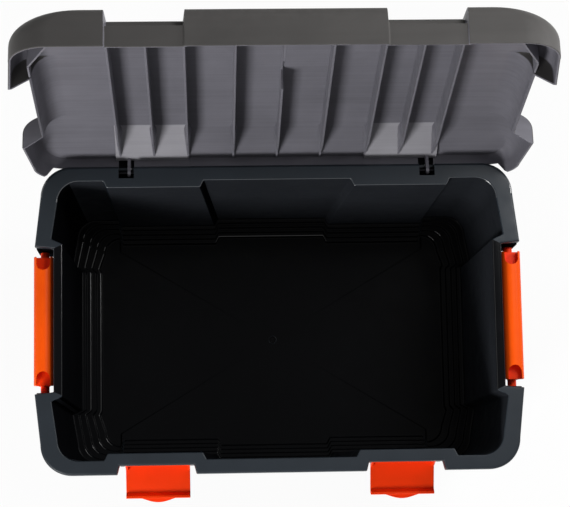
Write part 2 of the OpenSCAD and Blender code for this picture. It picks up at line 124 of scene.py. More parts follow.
class TubSettings(bpy.types.PropertyGroup):
    """Sizes of the tub and of the rim round its mouth."""

    rim_w: length("Width", "Width over the rim, at the handles", BODY_HIGH[0] - BODY_LOW[0])
    rim_d: length("Depth", "Depth over the rim", BODY_HIGH[1] - BODY_LOW[1])
    rim_h: length("Height", "Height of the rim", BODY_HIGH[2] - BODY_LOW[2])
    wall: length("Wall", "Thickness of the walls", 0.003)
    rim_side: length("Side Rim", "Width of the flat rim at the two sides", 0.021)
    rim_front: length("Front Rim", "Width of the flat rim at the front", 0.0175)
    rim_back: length("Back Rim", "Width of the flat rim at the back", 0.0187)
    corner_r: length("Rim Corner", "Corner radius of the rim", 0.038)
    inner_r: length("Mouth Corner", "Corner radius of the tub's mouth", 0.026)
    corner_fall: length("Corner Fall", "How much smaller that radius is at the floor", 0.004)
    corner_slant: length("Side Slant", "How far each side draws in from the handle bay to the corner", 0.007)
    lip_h: length("Lip", "Drop of the rim's outer lip", 0.016)
    edge_r: length("Outer Edge", "Rounding of the rim's outer edge", 0.004)
    inner_edge_r: length("Inner Edge", "Rounding of the rim's inner edge", 0.002)
    foot_r: length("Foot Edge", "Rounding of the edge that the tub stands on", 0.003)
    step_r: length("Step Edge", "Rounding of the floor steps", 0.0015)
    lean: length("Lean", "How far each wall leans in on its way down", 0.007)
    floor_t: length("Floor", "Thickness of the floor", 0.0035)
    bay_l: length("Handle Bay Length", "Clear length of each handle bay", 0.176)
    bay_in: length("Handle Bay Depth", "Depth of each handle bay", 0.023)
    bay_rim: length("Handle Bay Rim", "Width of the rim along a handle bay", 0.011)
    bay_slope: length("Handle Bay Slope", "Slope of each end of a handle bay in the rim", 0.003)
    wall_slope: length("Wall Slope", "Slope of each end of a handle bay in the walls", 0.008)
    latch_bay_w: length("Latch Bay Width", "Width of each latch bay", 0.0975)
    latch_bay_in: length("Latch Bay Depth", "Depth of each latch bay", 0.011)
    latch_rim: length("Latch Bay Rim", "Width of the rim along a latch bay", 0.015)
    latch_slope: length("Latch Bay Slope", "Slope of each end of a latch bay", 0.004)
    channel_w: length("Channel Width", "Width of the channels in the front and back walls", 0.126)
    channel_x: length("Channel Distance", "Distance of the channels from the middle", LATCH_PIVOT.x + 0.0015)
    channel_spread: length("Channel Spread", "How far the channels spread towards the middle", 0.020)
    channel_slope: length("Channel Slope", "Slope of each side of a channel", 0.006)
    steps: IntProperty(name="Steps", description="Number of steps between walls and floor", default=4)
    step_rise: length("Step Height", "Height of one step", 0.006)
    step_side: length("Side Tread", "Tread of one step at the sides", 0.009)
    step_front: length("Front Tread", "Tread of one step at the front and the back", 0.0055)
    slot_w: length("Hinge Slot", "Width of each hinge slot in the rim", 0.019)
    slot_h: length("Hinge Slot Depth", "Depth of each hinge slot under the top of the rim", 0.019)
    slot_front: length("Hinge Slot Front", "How far each hinge slot reaches in front of its pin", 0.008)
    slot_lip: length("Hinge Slot Lip", "Height of the rim's lip that is left behind a hinge slot", 0.0045)
    tongue_gap: length("Tongue Gap", "Gap on each side of a hinge tongue in the lip", 0.0003)
    knuckle_t: length("Knuckle", "Thickness of the knuckle on each side of a slot", 0.006)
    hinge_x: length("Hinge Distance", "Distance of the hinges from the middle", 0.187)
    gate_d: length("Gate Mark", "Diameter of the gate mark in the middle of the floor", 0.011)


class LidSettings(bpy.types.PropertyGroup):
    """Sizes of the lid."""

    gap: length("Gap", "Running gap between the skirt and the rim", 0.0035)
    rise: length("Rise", "Height of the lid's top above the rim", 0.031)
    overlap: length("Overlap", "How far the skirt reaches down over the rim", 0.014)
    seat: length("Seat", "Gap between the rim and the edges that close on top of it", 0.0008)
    shoulder: length("Shoulder", "Length of the rounded shoulder at each side", 0.046)
    edge_r: length("Front Edge", "Rounding of the front top edge", 0.006)
    slope_l: length("Slope", "Length of the slope towards the hinges", 0.072)
    slope_drop: length("Slope Drop", "Drop of that slope", 0.015)
    hinge_face: length("Hinge Face", "How far the back edge is set in over the hinges", 0.0006)
    notch_w: length("Notch Width", "Width of each latch notch in the front edge", 0.084)
    notch_in: length("Notch Depth", "Depth of each latch notch", 0.0135)
    ledge_z: length("Ledge", "Height of the latch ledge above the rim, at its back", 0.014)
    ledge_fall: length("Ledge Fall", "Drop of the ledge towards the front", 0.004)
    notch_face: length("Notch Face", "How far the skirt is set back at a latch", 0.002)
    notch_step: length("Notch Step", "Height of the upright face behind the ledge", 0.0065)
    notch_slope: length("Notch Slope", "Length of the slope from that face up to the top", 0.025)
    rib_t: length("Rib", "Thickness of the ribs", 0.0024)
    foot_w: length("Rib Foot", "Width of the flare at a rib's foot near the hinges", 0.010)
    rib_step: length("Rib Step", "Distance between the ribs beside each latch", 0.042)
    rib_mid_x: length("Middle Ribs", "Distance of the ribs beside the middle one", 0.054)
    corner_rib_x: length("Corner Rib Side", "Distance of a corner rib's front end from the side", 0.056)
    corner_rib_y: length("Corner Rib Bay", "Distance of its other end from the handle bay", 0.024)
    block_l: length("Hinge Block", "Length of the slope over each hinge", 0.052)
    block_z: length("Hinge Block Height", "Height of that slope's end above the rim", 0.010)
    tongue_t: length("Tongue", "Thickness of a hinge tongue", 0.004)
    tongue_left: length("Left Tongue Shift", "Shift of the left tongue to the right in its slot", 0.0036)
    tongue_right: length("Right Tongue Shift", "Shift of the right tongue to the right in its slot", 0.0012)
    open_angle: FloatProperty(name="Open", description="How far the lid is open",
                              default=LID_OPEN, subtype="ANGLE")


class LatchSettings(bpy.types.PropertyGroup):
    """Sizes of the two front latches."""

    width: length("Width", "Width of a latch", 0.0795)
    thickness: length("Plate", "Thickness of the latch plate", 0.0035)
    barrel_d: length("Barrel", "Diameter of the latch barrel", 0.009)
    pin_d: length("Pin", "Diameter of the latch and hinge pins", 0.005)
    face: length("Face", "Distance of the plate from the pin", 0.0205)
    plate_h: length("Height", "Height of the plate above the pin", 0.0496)
    hook_reach: length("Hook", "Reach of the hook over the ledge", 0.006)
    hook_z: length("Hook Height", "Height of the hook's underside above the pin", 0.0456)
    tab_h: length("Tab", "Height of the finger tab above the hook", 0.008)
    tab_w: length("Tab Width", "Width of the finger tab", 0.070)
    side_t: length("Side Wall", "Thickness of the side walls", 0.003)
    side_fit: length("Side Clearance", "Clearance between a latch and its lugs", 0.0004)
    lug_t: length("Lug", "Thickness of a lug", 0.005)
    open_angle: FloatProperty(name="Open", description="How far the latches are let down",
                              default=LATCH_OPEN, subtype="ANGLE")


class HandleSettings(bpy.types.PropertyGroup):
    """Sizes of the two side handles."""

    grip_l: length("Length", "Length of a grip", 0.159)
    grip_w: length("Width", "Width of a grip", 0.024)
    grip_h: length("Depth", "Depth of a grip from its crown to its edges", 0.017)
    notch_r: length("Notch Radius", "Radius of the round notch in each end of a grip", 0.0084)
    notch_l: length("Notch Length", "Length of that notch", 0.0170)
    wall: length("Wall", "Wall thickness of a grip", 0.003)
    web_t: length("Web", "Thickness of the web under each end notch", 0.0025)
    drop: length("Drop", "Depth of the crown under the top of the rim", 0.004)
    stub_d: length("Stub", "Diameter of the pivot stubs", 0.008)
    arm_t: length("Arm", "Thickness of the arm at each end", 0.004)
    cheek_t: length("Cheek", "Thickness of the cheek that carries a stub", 0.005)
    side_fit: length("Side Clearance", "Clearance between a handle and its cheeks", 0.0004)


class FinishSettings(bpy.types.PropertyGroup):
    """Colours of the mouldings and pins."""

    body: colour("Body", "Slate plastic of the tub", (0.0105, 0.0150, 0.0205))
    # The walls' tone is painted light and the floor's is painted shade: both are the body's one plastic
    walls: colour("Tub Walls", "The same plastic on the inside of the walls", (0.0180, 0.0200, 0.0240))
    inside: colour("Tub Floor", "The same plastic on the polished floor and steps", (0.0036, 0.0038, 0.0046))
    # The outside's darker tone is painted shade and the hinge blocks' paler one is painted light: all are one
    # plastic
    lid_outside_shaded: colour("Lid Outside", "Grey plastic of the lid, grained", (0.073, 0.070, 0.068))
    lid_inside: colour("Lid Inside", "The same plastic on the smooth inner faces", (0.145, 0.142, 0.163))
    lid_blocks_lit: colour("Hinge Blocks", "The same plastic, paler over the hinges", (0.310, 0.304, 0.330))
    orange: colour("Handles", "Orange plastic of the handles", (0.960, 0.092, 0.003))
    # The deeper orange of the latches and the handle ends is painted shade on the handles' orange
    latch: colour("Latches", "Deeper orange plastic of the latches", (0.880, 0.043, 0.002))
    # Blackened steel, made darker still with painted shade so that the pins stay black in their slots
    steel: colour("Steel", "Blackened steel of the hinge and latch pins", (0.008, 0.008, 0.009))


class StudioSettings(bpy.types.PropertyGroup):
    """Camera, lamps and floor."""

    camera_place: FloatVectorProperty(name="Camera", description="Place of the camera",
                                      default=(-0.0846, -0.2650, 2.6651), unit="LENGTH")
    lens: FloatProperty(name="Lens", description="Focal length in millimetres", default=122.95)
    key: FloatProperty(name="Key Light", description="Power of the soft light at the front left",
                       default=35.0, unit="POWER")
    side: FloatProperty(name="Side Light", description="Power of the soft light at the right",
                        default=7.6, unit="POWER")
    top: FloatProperty(name="Top Light", description="Power of the soft light high at the back right",
                       default=9.0, unit="POWER")
    sky: FloatProperty(name="Room Light", description="Level of the even light all round", default=0.18)


class BoxSettings(bpy.types.PropertyGroup):
    """Everything about the box that the sidebar can change."""

    tub: PointerProperty(type=TubSettings)
    lid: PointerProperty(type=LidSettings)
    latch: PointerProperty(type=LatchSettings)
    handle: PointerProperty(type=HandleSettings)
    finish: PointerProperty(type=FinishSettings)
    studio: PointerProperty(type=StudioSettings)


# Outlines


def ramp(start, end):
    """Points from start to end, eased across, each with the share of the way done."""
    points = []
    for i in range(RAMP_STEPS + 1):
        t = i / RAMP_STEPS
        share = t * t * (3 - 2 * t)
        points.append((start[0] + (end[0] - start[0]) * t, start[1] + (end[1] - start[1]) * share, share))
    return points


def arc(x, y, radius, start, turn=90, steps=CORNER_STEPS):
    """Points round a centre, from a start angle in degrees."""
    angles = [math.radians(start + turn * i / steps) for i in range(steps + 1)]
    return [(x + radius * math.cos(a), y + radius * math.sin(a)) for a in angles]


class Plan(NamedTuple):
    """Level outline of the box, with bays at its sides and notches at its front and back."""

    half: float
    corner: float
    front: float
    back: float
    front_r: float
    back_r: float
    bay: float
    bay_slope: float
    bay_depth: float
    notch: float
    notch_slope: float
    front_depth: float
    back_depth: float
    notch_x: float

    def columns(self):
        """(x, y, share of the notch, share of the bay) of each point round the outline."""
        near = self.notch_x - self.notch
        far = self.notch_x + self.notch
        front, back = -self.front, self.back
        front_floor, back_floor = front + self.front_depth, back - self.back_depth
        step = self.notch_slope
        floor = self.half - self.bay_depth
        bay_end = self.bay - self.bay_slope
        right = [(x, y, s, 0) for x, y, s in ramp((near, front), (near + step, front_floor))]
        right += [(x, y, 1 - s, 0) for x, y, s in ramp((far - step, front_floor), (far, front))]
        right += [(x, y, 0, 0) for x, y in
                  arc(self.corner - self.front_r, front + self.front_r, self.front_r, -90)]
        right += [(x, y, 0, s) for y, x, s in ramp((-self.bay, self.half), (-bay_end, floor))]
        right += [(x, y, 0, 1 - s) for y, x, s in ramp((bay_end, floor), (self.bay, self.half))]
        right += [(x, y, 0, 0) for x, y in arc(self.corner - self.back_r, back - self.back_r, self.back_r, 0)]
        right += [(x, y, 0, 0) for x, y, s in ramp((far, back), (far - step, back_floor))]
        right += [(x, y, 0, 0) for x, y, s in ramp((near + step, back_floor), (near, back))]
        return right + [(-x, y, notch, bay) for x, y, notch, bay in reversed(right)]

    def ring(self, z):
        """The outline's points at a height."""
        return np.array([(x, y, z) for x, y, notch, bay in self.columns()])

    def grown(self, by):
        """The same outline moved outwards on every side."""
        bay_shift = by * math.tan(math.atan2(self.bay_depth, self.bay_slope) / 2)
        notch_shift = by * math.tan(math.atan2(self.front_depth, self.notch_slope) / 2)
        return self._replace(half=self.half + by, corner=self.corner + by, front=self.front + by,
                             back=self.back + by, front_r=self.front_r + by, back_r=self.back_r + by,
                             bay=self.bay - bay_shift, notch=self.notch - notch_shift)

    def plain(self):
        """The outline without its bays, moved in as far as its corners allow."""
        inset = self.grown(PLAIN_R - min(self.front_r, self.back_r))
        return inset._replace(bay=self.bay, bay_depth=0, notch=self.notch, front_depth=0, back_depth=0)


def rounded(corners, steps=5):
    """Outline through corners of (across, up, radius), each turned with its radius."""
    points = []
    count = len(corners)
    for i, (across, up, radius) in enumerate(corners):
        here = Vector((across, up))
        back = Vector(corners[i - 1][:2]) - here
        ahead = Vector(corners[(i + 1) % count][:2]) - here
        reach = 0
        if radius > 0:
            reach = radius / math.tan(back.angle(ahead) / 2)
            reach = min(reach, 0.48 * back.length, 0.48 * ahead.length)
        if reach < 1e-6:
            points.append(tuple(here))
            continue
        start = here + back.normalized() * reach
        end = here + ahead.normalized() * reach
        for k in range(steps + 1):
            t = k / steps
            points.append(tuple(start * (1 - t) ** 2 + here * 2 * t * (1 - t) + end * t ** 2))
    return points


def disc(across, up, diameter, steps=48):
    """Circle as an outline."""
    return arc(across, up, diameter / 2, 0, 360, steps)[:-1]


def hull(*discs):
    """Outline drawn tight round discs of (across, up, diameter)."""
    cloud = sorted({(round(x, 7), round(y, 7)) for item in discs for x, y in disc(*item)})

    def chain(points):
        kept = []
        for point in points:
            while len(kept) > 1 and turn(kept[-2], kept[-1], point) <= 0:
                kept.pop()
            kept.append(point)
        return kept[:-1]

    def turn(a, b, c):
        return (b[0] - a[0]) * (c[1] - a[1]) - (b[1] - a[1]) * (c[0] - a[0])

    return chain(cloud) + chain(reversed(cloud))


# Meshes


def moved_towards(start, end, reach):
    """Points moved from start towards end by reach, and less than half way."""
    way = end - start
    distance = np.maximum(np.linalg.norm(way, axis=1, keepdims=True), 1e-9)
    return start + way * np.minimum(reach / distance, 0.48)


def eased(rings):
    """Rings with each (ring, radius) that has a radius turned into a run of rings round its edge."""
    result = []
    for i, (ring, radius) in enumerate(rings):
        if radius == 0:
            result.append(ring)
            continue
        start = moved_towards(ring, rings[i - 1][0], radius)
        end = moved_towards(ring, rings[i + 1][0], radius)
        for k in range(EDGE_STEPS + 1):
            t = k / EDGE_STEPS
            result.append(start * (1 - t) ** 2 + ring * 2 * t * (1 - t) + end * t ** 2)
    return result


def skin(rings):
    """Closed mesh through rings, and its faces between each ring and the next, caps included."""
    bm = bmesh.new()
    rows = [[bm.verts.new(point) for point in ring] for ring in rings]
    count = len(rows[0])
    bands = []
    for low, high in zip(rows, rows[1:]):
        bands.append([bm.faces.new((low[i], low[(i + 1) % count], high[(i + 1) % count], high[i]))
                      for i in range(count)])
    for row, band in ((rows[0], bands[0]), (rows[-1], bands[-1])):
        middle = bm.verts.new((0, 0, row[0].co.z))
        band += [bm.faces.new((middle, row[i], row[(i + 1) % count])) for i in range(count)]
    return bm, bands


def closed(bm):
    """The mesh of bm with its doubles merged and its faces outwards."""
    bmesh.ops.remove_doubles(bm, verts=bm.verts, dist=1e-6)
    bmesh.ops.dissolve_degenerate(bm, edges=bm.edges, dist=1e-6)
    bmesh.ops.recalc_face_normals(bm, faces=bm.faces)
    mesh = bpy.data.meshes.new("moulding")
    bm.to_mesh(mesh)
    bm.free()
    return mesh


def joined(meshes, places=None):
    """One mesh of several, each moved to its place."""
    bm = bmesh.new()
    for i, mesh in enumerate(meshes):
        if places:
            mesh = mesh.copy()
            mesh.transform(places[i])
        bm.from_mesh(mesh)
    result = bpy.data.meshes.new("moulding")
    bm.to_mesh(result)
    bm.free()
    return result


def evaluated(obj):
    """Plain mesh of an object with its modifiers applied. The object is removed."""
    depsgraph = bpy.context.evaluated_depsgraph_get()
    mesh = bpy.data.meshes.new_from_object(obj.evaluated_get(depsgraph), depsgraph=depsgraph)
    bpy.data.objects.remove(obj)
    return mesh


def linked(name, data):
    """New object in the scene's collection."""
    obj = bpy.data.objects.new(name, data)
    bpy.context.scene.collection.objects.link(obj)
    return obj


# Turns that lay a plate's outline across the X, Y or Z axis, with its thickness along that axis
ACROSS = {
    "X": Matrix(((0, 0, 1), (1, 0, 0), (0, 1, 0))).to_4x4(),
    "Y": Matrix(((1, 0, 0), (0, 0, -1), (0, 1, 0))).to_4x4(),
    "Z": Matrix.Identity(4),
}


def plate(outlines, thickness, edge=0.0005, axis="X"):
    """Plate cut to outlines, the inner ones as holes, with rounded edges."""
    curve = bpy.data.curves.new("plate", "CURVE")
    curve.dimensions = "2D"
    curve.fill_mode = "BOTH"
    curve.extrude = thickness / 2 - edge
    curve.bevel_depth = edge
    curve.bevel_resolution = 2
    curve.offset = -edge
    for outline in outlines:
        spline = curve.splines.new("POLY")
        spline.points.add(len(outline) - 1)
        for point, (across, up) in zip(spline.points, outline):
            point.co = (across, up, 0, 1)
        spline.use_cyclic_u = True
    mesh = evaluated(linked("plate", curve))
    bm = bmesh.new()
    bm.from_mesh(mesh)
    mesh = closed(bm)
    mesh.transform(ACROSS[axis])
    return mesh


def box_mesh(low, high):
    """Block between two corners, for cutting."""
    bm = bmesh.new()
    bmesh.ops.create_cube(bm, size=1)
    for vert in bm.verts:
        vert.co = [low[i] + (high[i] - low[i]) * (vert.co[i] + 0.5) for i in range(3)]
    mesh = bpy.data.meshes.new("block")
    bm.to_mesh(mesh)
    bm.free()
    return mesh


def blocks_at(places, half, front, back, low, high):
    """Blocks of a half width at places across the box, for cutting."""
    return [box_mesh((x - half, front, low), (x + half, back, high)) for x in places]


def cut(mesh, cutters):
    """Mesh with the cutters taken out of it."""
    obj = linked("moulding", mesh)
    tools = []
    for cutter in cutters:
        tool = linked("cutter", cutter)
        modifier = obj.modifiers.new("Cut", "BOOLEAN")
        modifier.operation = "DIFFERENCE"
        modifier.solver = "EXACT"
        modifier.object = tool
        tools.append(tool)
    result = evaluated(obj)
    for tool in tools:
        bpy.data.objects.remove(tool)
    return result


def row_tree():
    """Geometry nodes that repeat a plate along a line."""
    tree = bpy.data.node_groups.get("Row of Plates")
    if tree:
        return tree
    tree = bpy.data.node_groups.new("Row of Plates", "GeometryNodeTree")
    inputs = {"Plate": "Geometry", "Count": "Int", "First": "Vector", "Step": "Vector", "Finish": "Material"}
    for name, kind in inputs.items():
        tree.interface.new_socket(name, in_out="INPUT", socket_type="NodeSocket" + kind)
    tree.interface.new_socket("Plates", in_out="OUTPUT", socket_type="NodeSocketGeometry")
    given = node(tree, "NodeGroupInput").outputs
    line = node(tree, "GeometryNodeMeshLine",
                {"Count": given["Count"], "Start Location": given["First"], "Offset": given["Step"]})
    repeat = node(tree, "GeometryNodeInstanceOnPoints",
                  {"Points": line.outputs["Mesh"], "Instance": given["Plate"]})
    realize = node(tree, "GeometryNodeRealizeInstances", {"Geometry": repeat.outputs["Instances"]})
    paint = node(tree, "GeometryNodeSetMaterial",
                 {"Geometry": realize.outputs["Geometry"], "Material": given["Finish"]})
    node(tree, "NodeGroupOutput", {"Plates": paint.outputs["Geometry"]})
    return tree


def row(mesh, first, step, count, finish):
    """Mesh repeated along a line by geometry nodes."""
    obj = linked("row", mesh)
    modifier = obj.modifiers.new("Row", "NODES")
    modifier.node_group = row_tree()
    values = {"Count": count, "First": first, "Step": step, "Finish": finish}
    for item in modifier.node_group.interface.items_tree:
        if item.name in values:
            modifier[item.identifier] = values[item.name]
    return evaluated(obj)


def pair(mesh, reach, finish, middle=0):
    """Mesh twice, at the same reach left and right of a middle."""
    return row(mesh, (middle - reach, 0, 0), (2 * reach, 0, 0), 2, finish)


def place(name, mesh, finish, body, slot, *nodes):
    """Makes the mesh a piece that rides on a body, stands for CAD nodes and is shaded smooth."""
    bm = bmesh.new()
    bm.from_mesh(mesh)
    for face in bm.faces:
        face.smooth = True
        face.material_index = 0
    for edge in bm.edges:
        edge.smooth = len(edge.link_faces) == 2 and edge.calc_face_angle() < SHARP_ANGLE
    bm.to_mesh(mesh)
    bm.free()
    soft = linked(name + "_soft", mesh)
    modifier = soft.modifiers.new("Even Faces", "WEIGHTED_NORMAL")
    modifier.keep_sharp = True
    piece = linked(name, evaluated(soft))
    piece.data.name = name
    piece.data.materials.clear()
    piece.data.materials.append(finish)
    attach(piece, body)
    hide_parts(*nodes)
    return piece


def place_on_tub(name, meshes, finish):
    """Makes meshes one piece of the tub."""
    return place(name, joined(meshes), finish_named(finish), "body", "body_plastic", "body")


def place_on_lid(name, meshes, finish, box):
    """Makes meshes one piece of the lid, turned open."""
    mesh = joined(meshes)
    mesh.transform(lid_turn(box))
    return place(name, mesh, finish_named(finish), "lid", "lid_plastic", "lid")


# Finishes


def feed(tree, item, inputs):
    """Gives a node's inputs their values, or links them to the outputs of other nodes."""
    for key, value in inputs.items():
        if isinstance(value, bpy.types.NodeSocket):
            tree.links.new(value, item.inputs[key])
        else:
            item.inputs[key].default_value = value


def node(tree, kind, inputs=None, **settings):
    """New node with its settings and inputs given."""
    item = tree.nodes.new(kind)
    for key, value in settings.items():
        setattr(item, key, value)
    feed(tree, item, inputs or {})
    return item


def noise(tree, scale, detail, stretch=None):
    """Noise texture in the object's own coordinates, which can be stretched along its axes."""
    where = tree.nodes.get("Texture Coordinate") or tree.nodes.new("ShaderNodeTexCoord")
    vector = where.outputs["Object"]
    if stretch:
        vector = node(tree, "ShaderNodeMapping", {"Vector": vector, "Scale": stretch}).outputs["Vector"]
    texture = node(tree, "ShaderNodeTexNoise", {"Vector": vector, "Scale": scale, "Detail": detail})
    return texture.outputs["Fac"]


def spread(tree, value, low, high, start=0.0, end=1.0):
    """Value mapped from start and end to low and high."""
    return node(tree, "ShaderNodeMapRange", {"Value": value, "From Min": start, "From Max": end,
                                             "To Min": low, "To Max": high}).outputs["Result"]


def blend_colour(tree, share, first, second):
    """Mix of two colours by a share."""
    item = node(tree, "ShaderNodeMix", {"Factor": share}, data_type="RGBA")
    colours = [i for i, socket in enumerate(item.inputs) if socket.type == "RGBA"]
    feed(tree, item, dict(zip(colours, (first, second))))
    return [socket for socket in item.outputs if socket.type == "RGBA"][0]


def bump(tree, height, strength, distance, under=None):
    """Normal of a surface that a height raises, over another bump where one is given."""
    inputs = {"Height": height, "Strength": strength, "Distance": distance}
    if under:
        inputs["Normal"] = under
    return node(tree, "ShaderNodeBump", inputs).outputs["Normal"]


def scaled(shade, by):
    """Lighter or darker tone of a shade, opaque."""
    return (*(min(1.0, channel * by) for channel in shade), 1)


def new_material(name):
    """New material, its node tree and its shader."""
    material = bpy.data.materials.new(name)
    material.use_nodes = True
    return material, material.node_tree, material.node_tree.nodes["Principled BSDF"]


def moulded_plastic(name, shade, smooth, rough, grain, gloss, edge_wear_and_highlight, streaks):
    """Moulded plastic: cloudy shade, streaks of flow, fine grain, uneven gloss and lighter edges,
    which are partly worn and partly a painted highlight.
    """
    material, tree, shader = new_material(name)
    clouds = spread(tree, noise(tree, 14, 3), 0, 1, 0.35, 0.65)
    base = blend_colour(tree, clouds, scaled(shade, 0.93), scaled(shade, 1.07))
    if streaks:
        flow = spread(tree, noise(tree, 1, 3, (6, 90, 260)), 0, streaks, 0.35, 0.65)
        base = blend_colour(tree, flow, base, scaled(shade, 1.5))
    # Convex edges are lightened, partly as wear and partly as a painted highlight
    edges = spread(tree, node(tree, "ShaderNodeNewGeometry").outputs["Pointiness"], 0, 0.35, 0.52, 0.60)
    patches = spread(tree, noise(tree, 90, 4), 0.3, 1, 0.4, 0.6)
    worn_and_highlit = node(tree, "ShaderNodeMath", {0: edges, 1: patches}, operation="MULTIPLY").outputs["Value"]
    waves = bump(tree, noise(tree, 22, 1), 0.12, 0.0006)
    feed(tree, shader, {"Base Color": blend_colour(tree, worn_and_highlit, base, scaled(shade, edge_wear_and_highlight)),
                        "Roughness": spread(tree, noise(tree, 40, 4), smooth, rough, 0.3, 0.7),
                        "Specular IOR Level": gloss,
                        "Normal": bump(tree, noise(tree, 1400, 3), grain, 0.0003, waves)})
    return material


def pin_steel(shade):
    """Drawn steel rod, with fine lines along it."""
    material, tree, shader = new_material("pin steel")
    lines = noise(tree, 1, 3, (20, 900, 900))
    feed(tree, shader, {"Base Color": (*shade, 1), "Metallic": 1,
                        "Roughness": spread(tree, lines, 0.28, 0.5),
                        "Normal": bump(tree, lines, 0.2, 0.0001)})
    return material


def finish_named(name):
    """The finish of that name, made on its first use."""
    if name in bpy.data.materials:
        return bpy.data.materials[name]
    shades = bpy.context.scene.expedition_box.finish
    if name == "pin steel":
        return pin_steel(tuple(shades.steel))
    # Shade, least and most roughness, grain, gloss, how much lighter edges are by wear and painted highlight,
    # and streaks
    kinds = {
        "slate plastic": (shades.body, 0.34, 0.48, 0.10, 0.23, 1.9, 0),
        "dull slate with painted shade": (shades.inside, 0.70, 0.85, 0.08, 0.0, 1.5, 0),
        "satin slate with painted light": (shades.walls, 0.30, 0.42, 0.04, 0.05, 1.5, 0),
        "polished slate with painted shade": (shades.inside, 0.16, 0.26, 0.03, 0.03, 1.5, 0),
        "glossy slate edge": (shades.inside, 0.12, 0.18, 0.02, 0.35, 1.5, 0),
        "glossy slate rim": (shades.body, 0.12, 0.18, 0.02, 0.9, 1.5, 0),
        "grained grey with painted shade": (shades.lid_outside_shaded, 0.42, 0.58, 0.16, 0.15, 1.5, 0.15),
        "smooth grey plastic": (shades.lid_inside, 0.34, 0.46, 0.05, 0.15, 1.5, 0.25),
        "grey plastic with painted light": (shades.lid_blocks_lit, 0.34, 0.46, 0.05, 0.15, 1.3, 0.15),
        "orange plastic": (shades.orange, 0.32, 0.46, 0.06, 0.08, 1.3, 0),
        "orange plastic with painted shade": (shades.latch, 0.30, 0.44, 0.06, 0.10, 1.3, 0),
    }
    shade, *numbers = kinds[name]
    return moulded_plastic(name, tuple(shade), *numbers)


# Tub


def rim_plan(tub):
    """Outline of the rim's outer edge."""
    half, depth = tub.rim_w / 2, tub.rim_d / 2
    return Plan(half=half, corner=half - tub.corner_slant, front=depth, back=depth,
                front_r=tub.corner_r, back_r=tub.corner_r,
                bay=tub.bay_l / 2 + tub.bay_slope, bay_slope=tub.bay_slope, bay_depth=tub.bay_in,
                notch=tub.latch_bay_w / 2, notch_slope=tub.latch_slope,
                front_depth=tub.latch_bay_in, back_depth=0, notch_x=LATCH_PIVOT.x)


def tub_plan(tub, z, step=0):
    """Outline of the tub's inside at a height, moved in by a number of steps."""
    down = (tub.rim_h - z) / tub.rim_h
    share = step / tub.steps
    half = tub.rim_w / 2 - tub.rim_side - tub.lean * down - step * tub.step_side
    front = tub.rim_d / 2 - tub.rim_front - tub.lean * down - step * tub.step_front
    corner_r = tub.inner_r - tub.corner_fall * share
    bay_in = tub.bay_in + tub.bay_rim - tub.rim_side
    channel_in = tub.latch_bay_in + tub.latch_rim - tub.rim_front
    return Plan(half=half, corner=half - tub.corner_slant, front=front,
                back=front + tub.rim_front - tub.rim_back, front_r=corner_r, back_r=corner_r,
                bay=tub.bay_l / 2 + bay_in, bay_slope=tub.wall_slope, bay_depth=bay_in * (1 - 0.8 * share),
                notch=tub.channel_w / 2 + 0.3 * tub.channel_spread * down, notch_slope=tub.channel_slope,
                front_depth=channel_in, back_depth=channel_in,
                notch_x=tub.channel_x - 0.7 * tub.channel_spread * down)


def steps_top(tub):
    """Height at which the floor steps start."""
    return tub.floor_t + tub.steps * tub.step_rise


def tub_rings(tub):
    """Rings of the tub from its foot up the outside, over the rim and down to the floor."""
    lip_r, under_r, wall_r, step_top_r = 0.0008, 0.0015, 0.002, 0.003
    top = tub.rim_h
    under = top - tub.wall
    lip_z = top - tub.lip_h
    heel = steps_top(tub)
    rim = rim_plan(tub)
    lip = rim.grown(-tub.wall)
    foot = tub_plan(tub, 0, tub.steps).grown(tub.wall)
    rings = [(foot.plain().ring(0), 0),
             (foot.ring(0), tub.foot_r),
             (tub_plan(tub, heel).grown(tub.wall).ring(heel), 2 * step_top_r),
             (tub_plan(tub, under).grown(tub.wall).ring(under), wall_r),
             (lip.ring(under), under_r),
             (lip.ring(lip_z), lip_r),
             (rim.ring(lip_z), lip_r),
             (rim.ring(top), tub.edge_r),
             (tub_plan(tub, top).ring(top), tub.inner_edge_r)]
    for step in range(tub.steps):
        z = heel - step * tub.step_rise
        radius = step_top_r if step == 0 else tub.step_r
        rings += [(tub_plan(tub, z, step).ring(z), radius),
                  (tub_plan(tub, z, step + 1).ring(z), tub.step_r)]
    floor = tub_plan(tub, tub.floor_t, tub.steps)
    return rings + [(floor.ring(tub.floor_t), wall_r), (floor.plain().ring(tub.floor_t), 0)]


class BOX_OT_tub(bpy.types.Operator):
    """Make the tub with its rim, steps and hinge slots"""

    bl_idname = "expedition_box.tub"
    bl_label = "Tub"

    def execute(self, context):
        box = context.scene.expedition_box
        shell = cut(closed(skin(eased(tub_rings(box.tub)))[0]), slot_cutters(box))
        piece = place_on_tub("tub", [shell, gate_mark(box.tub)], "slate plastic")
        paint_inside(piece, box.tub)
        return {"FINISHED"}


def hinge_places(tub):
    """Places of the two hinge slots across the box."""
    return [side * tub.hinge_x for side in SIDES]


def tongue_places(box):
    """Places of the two hinge tongues across the box."""
    return -box.tub.hinge_x + box.lid.tongue_left, box.tub.hinge_x + box.lid.tongue_right


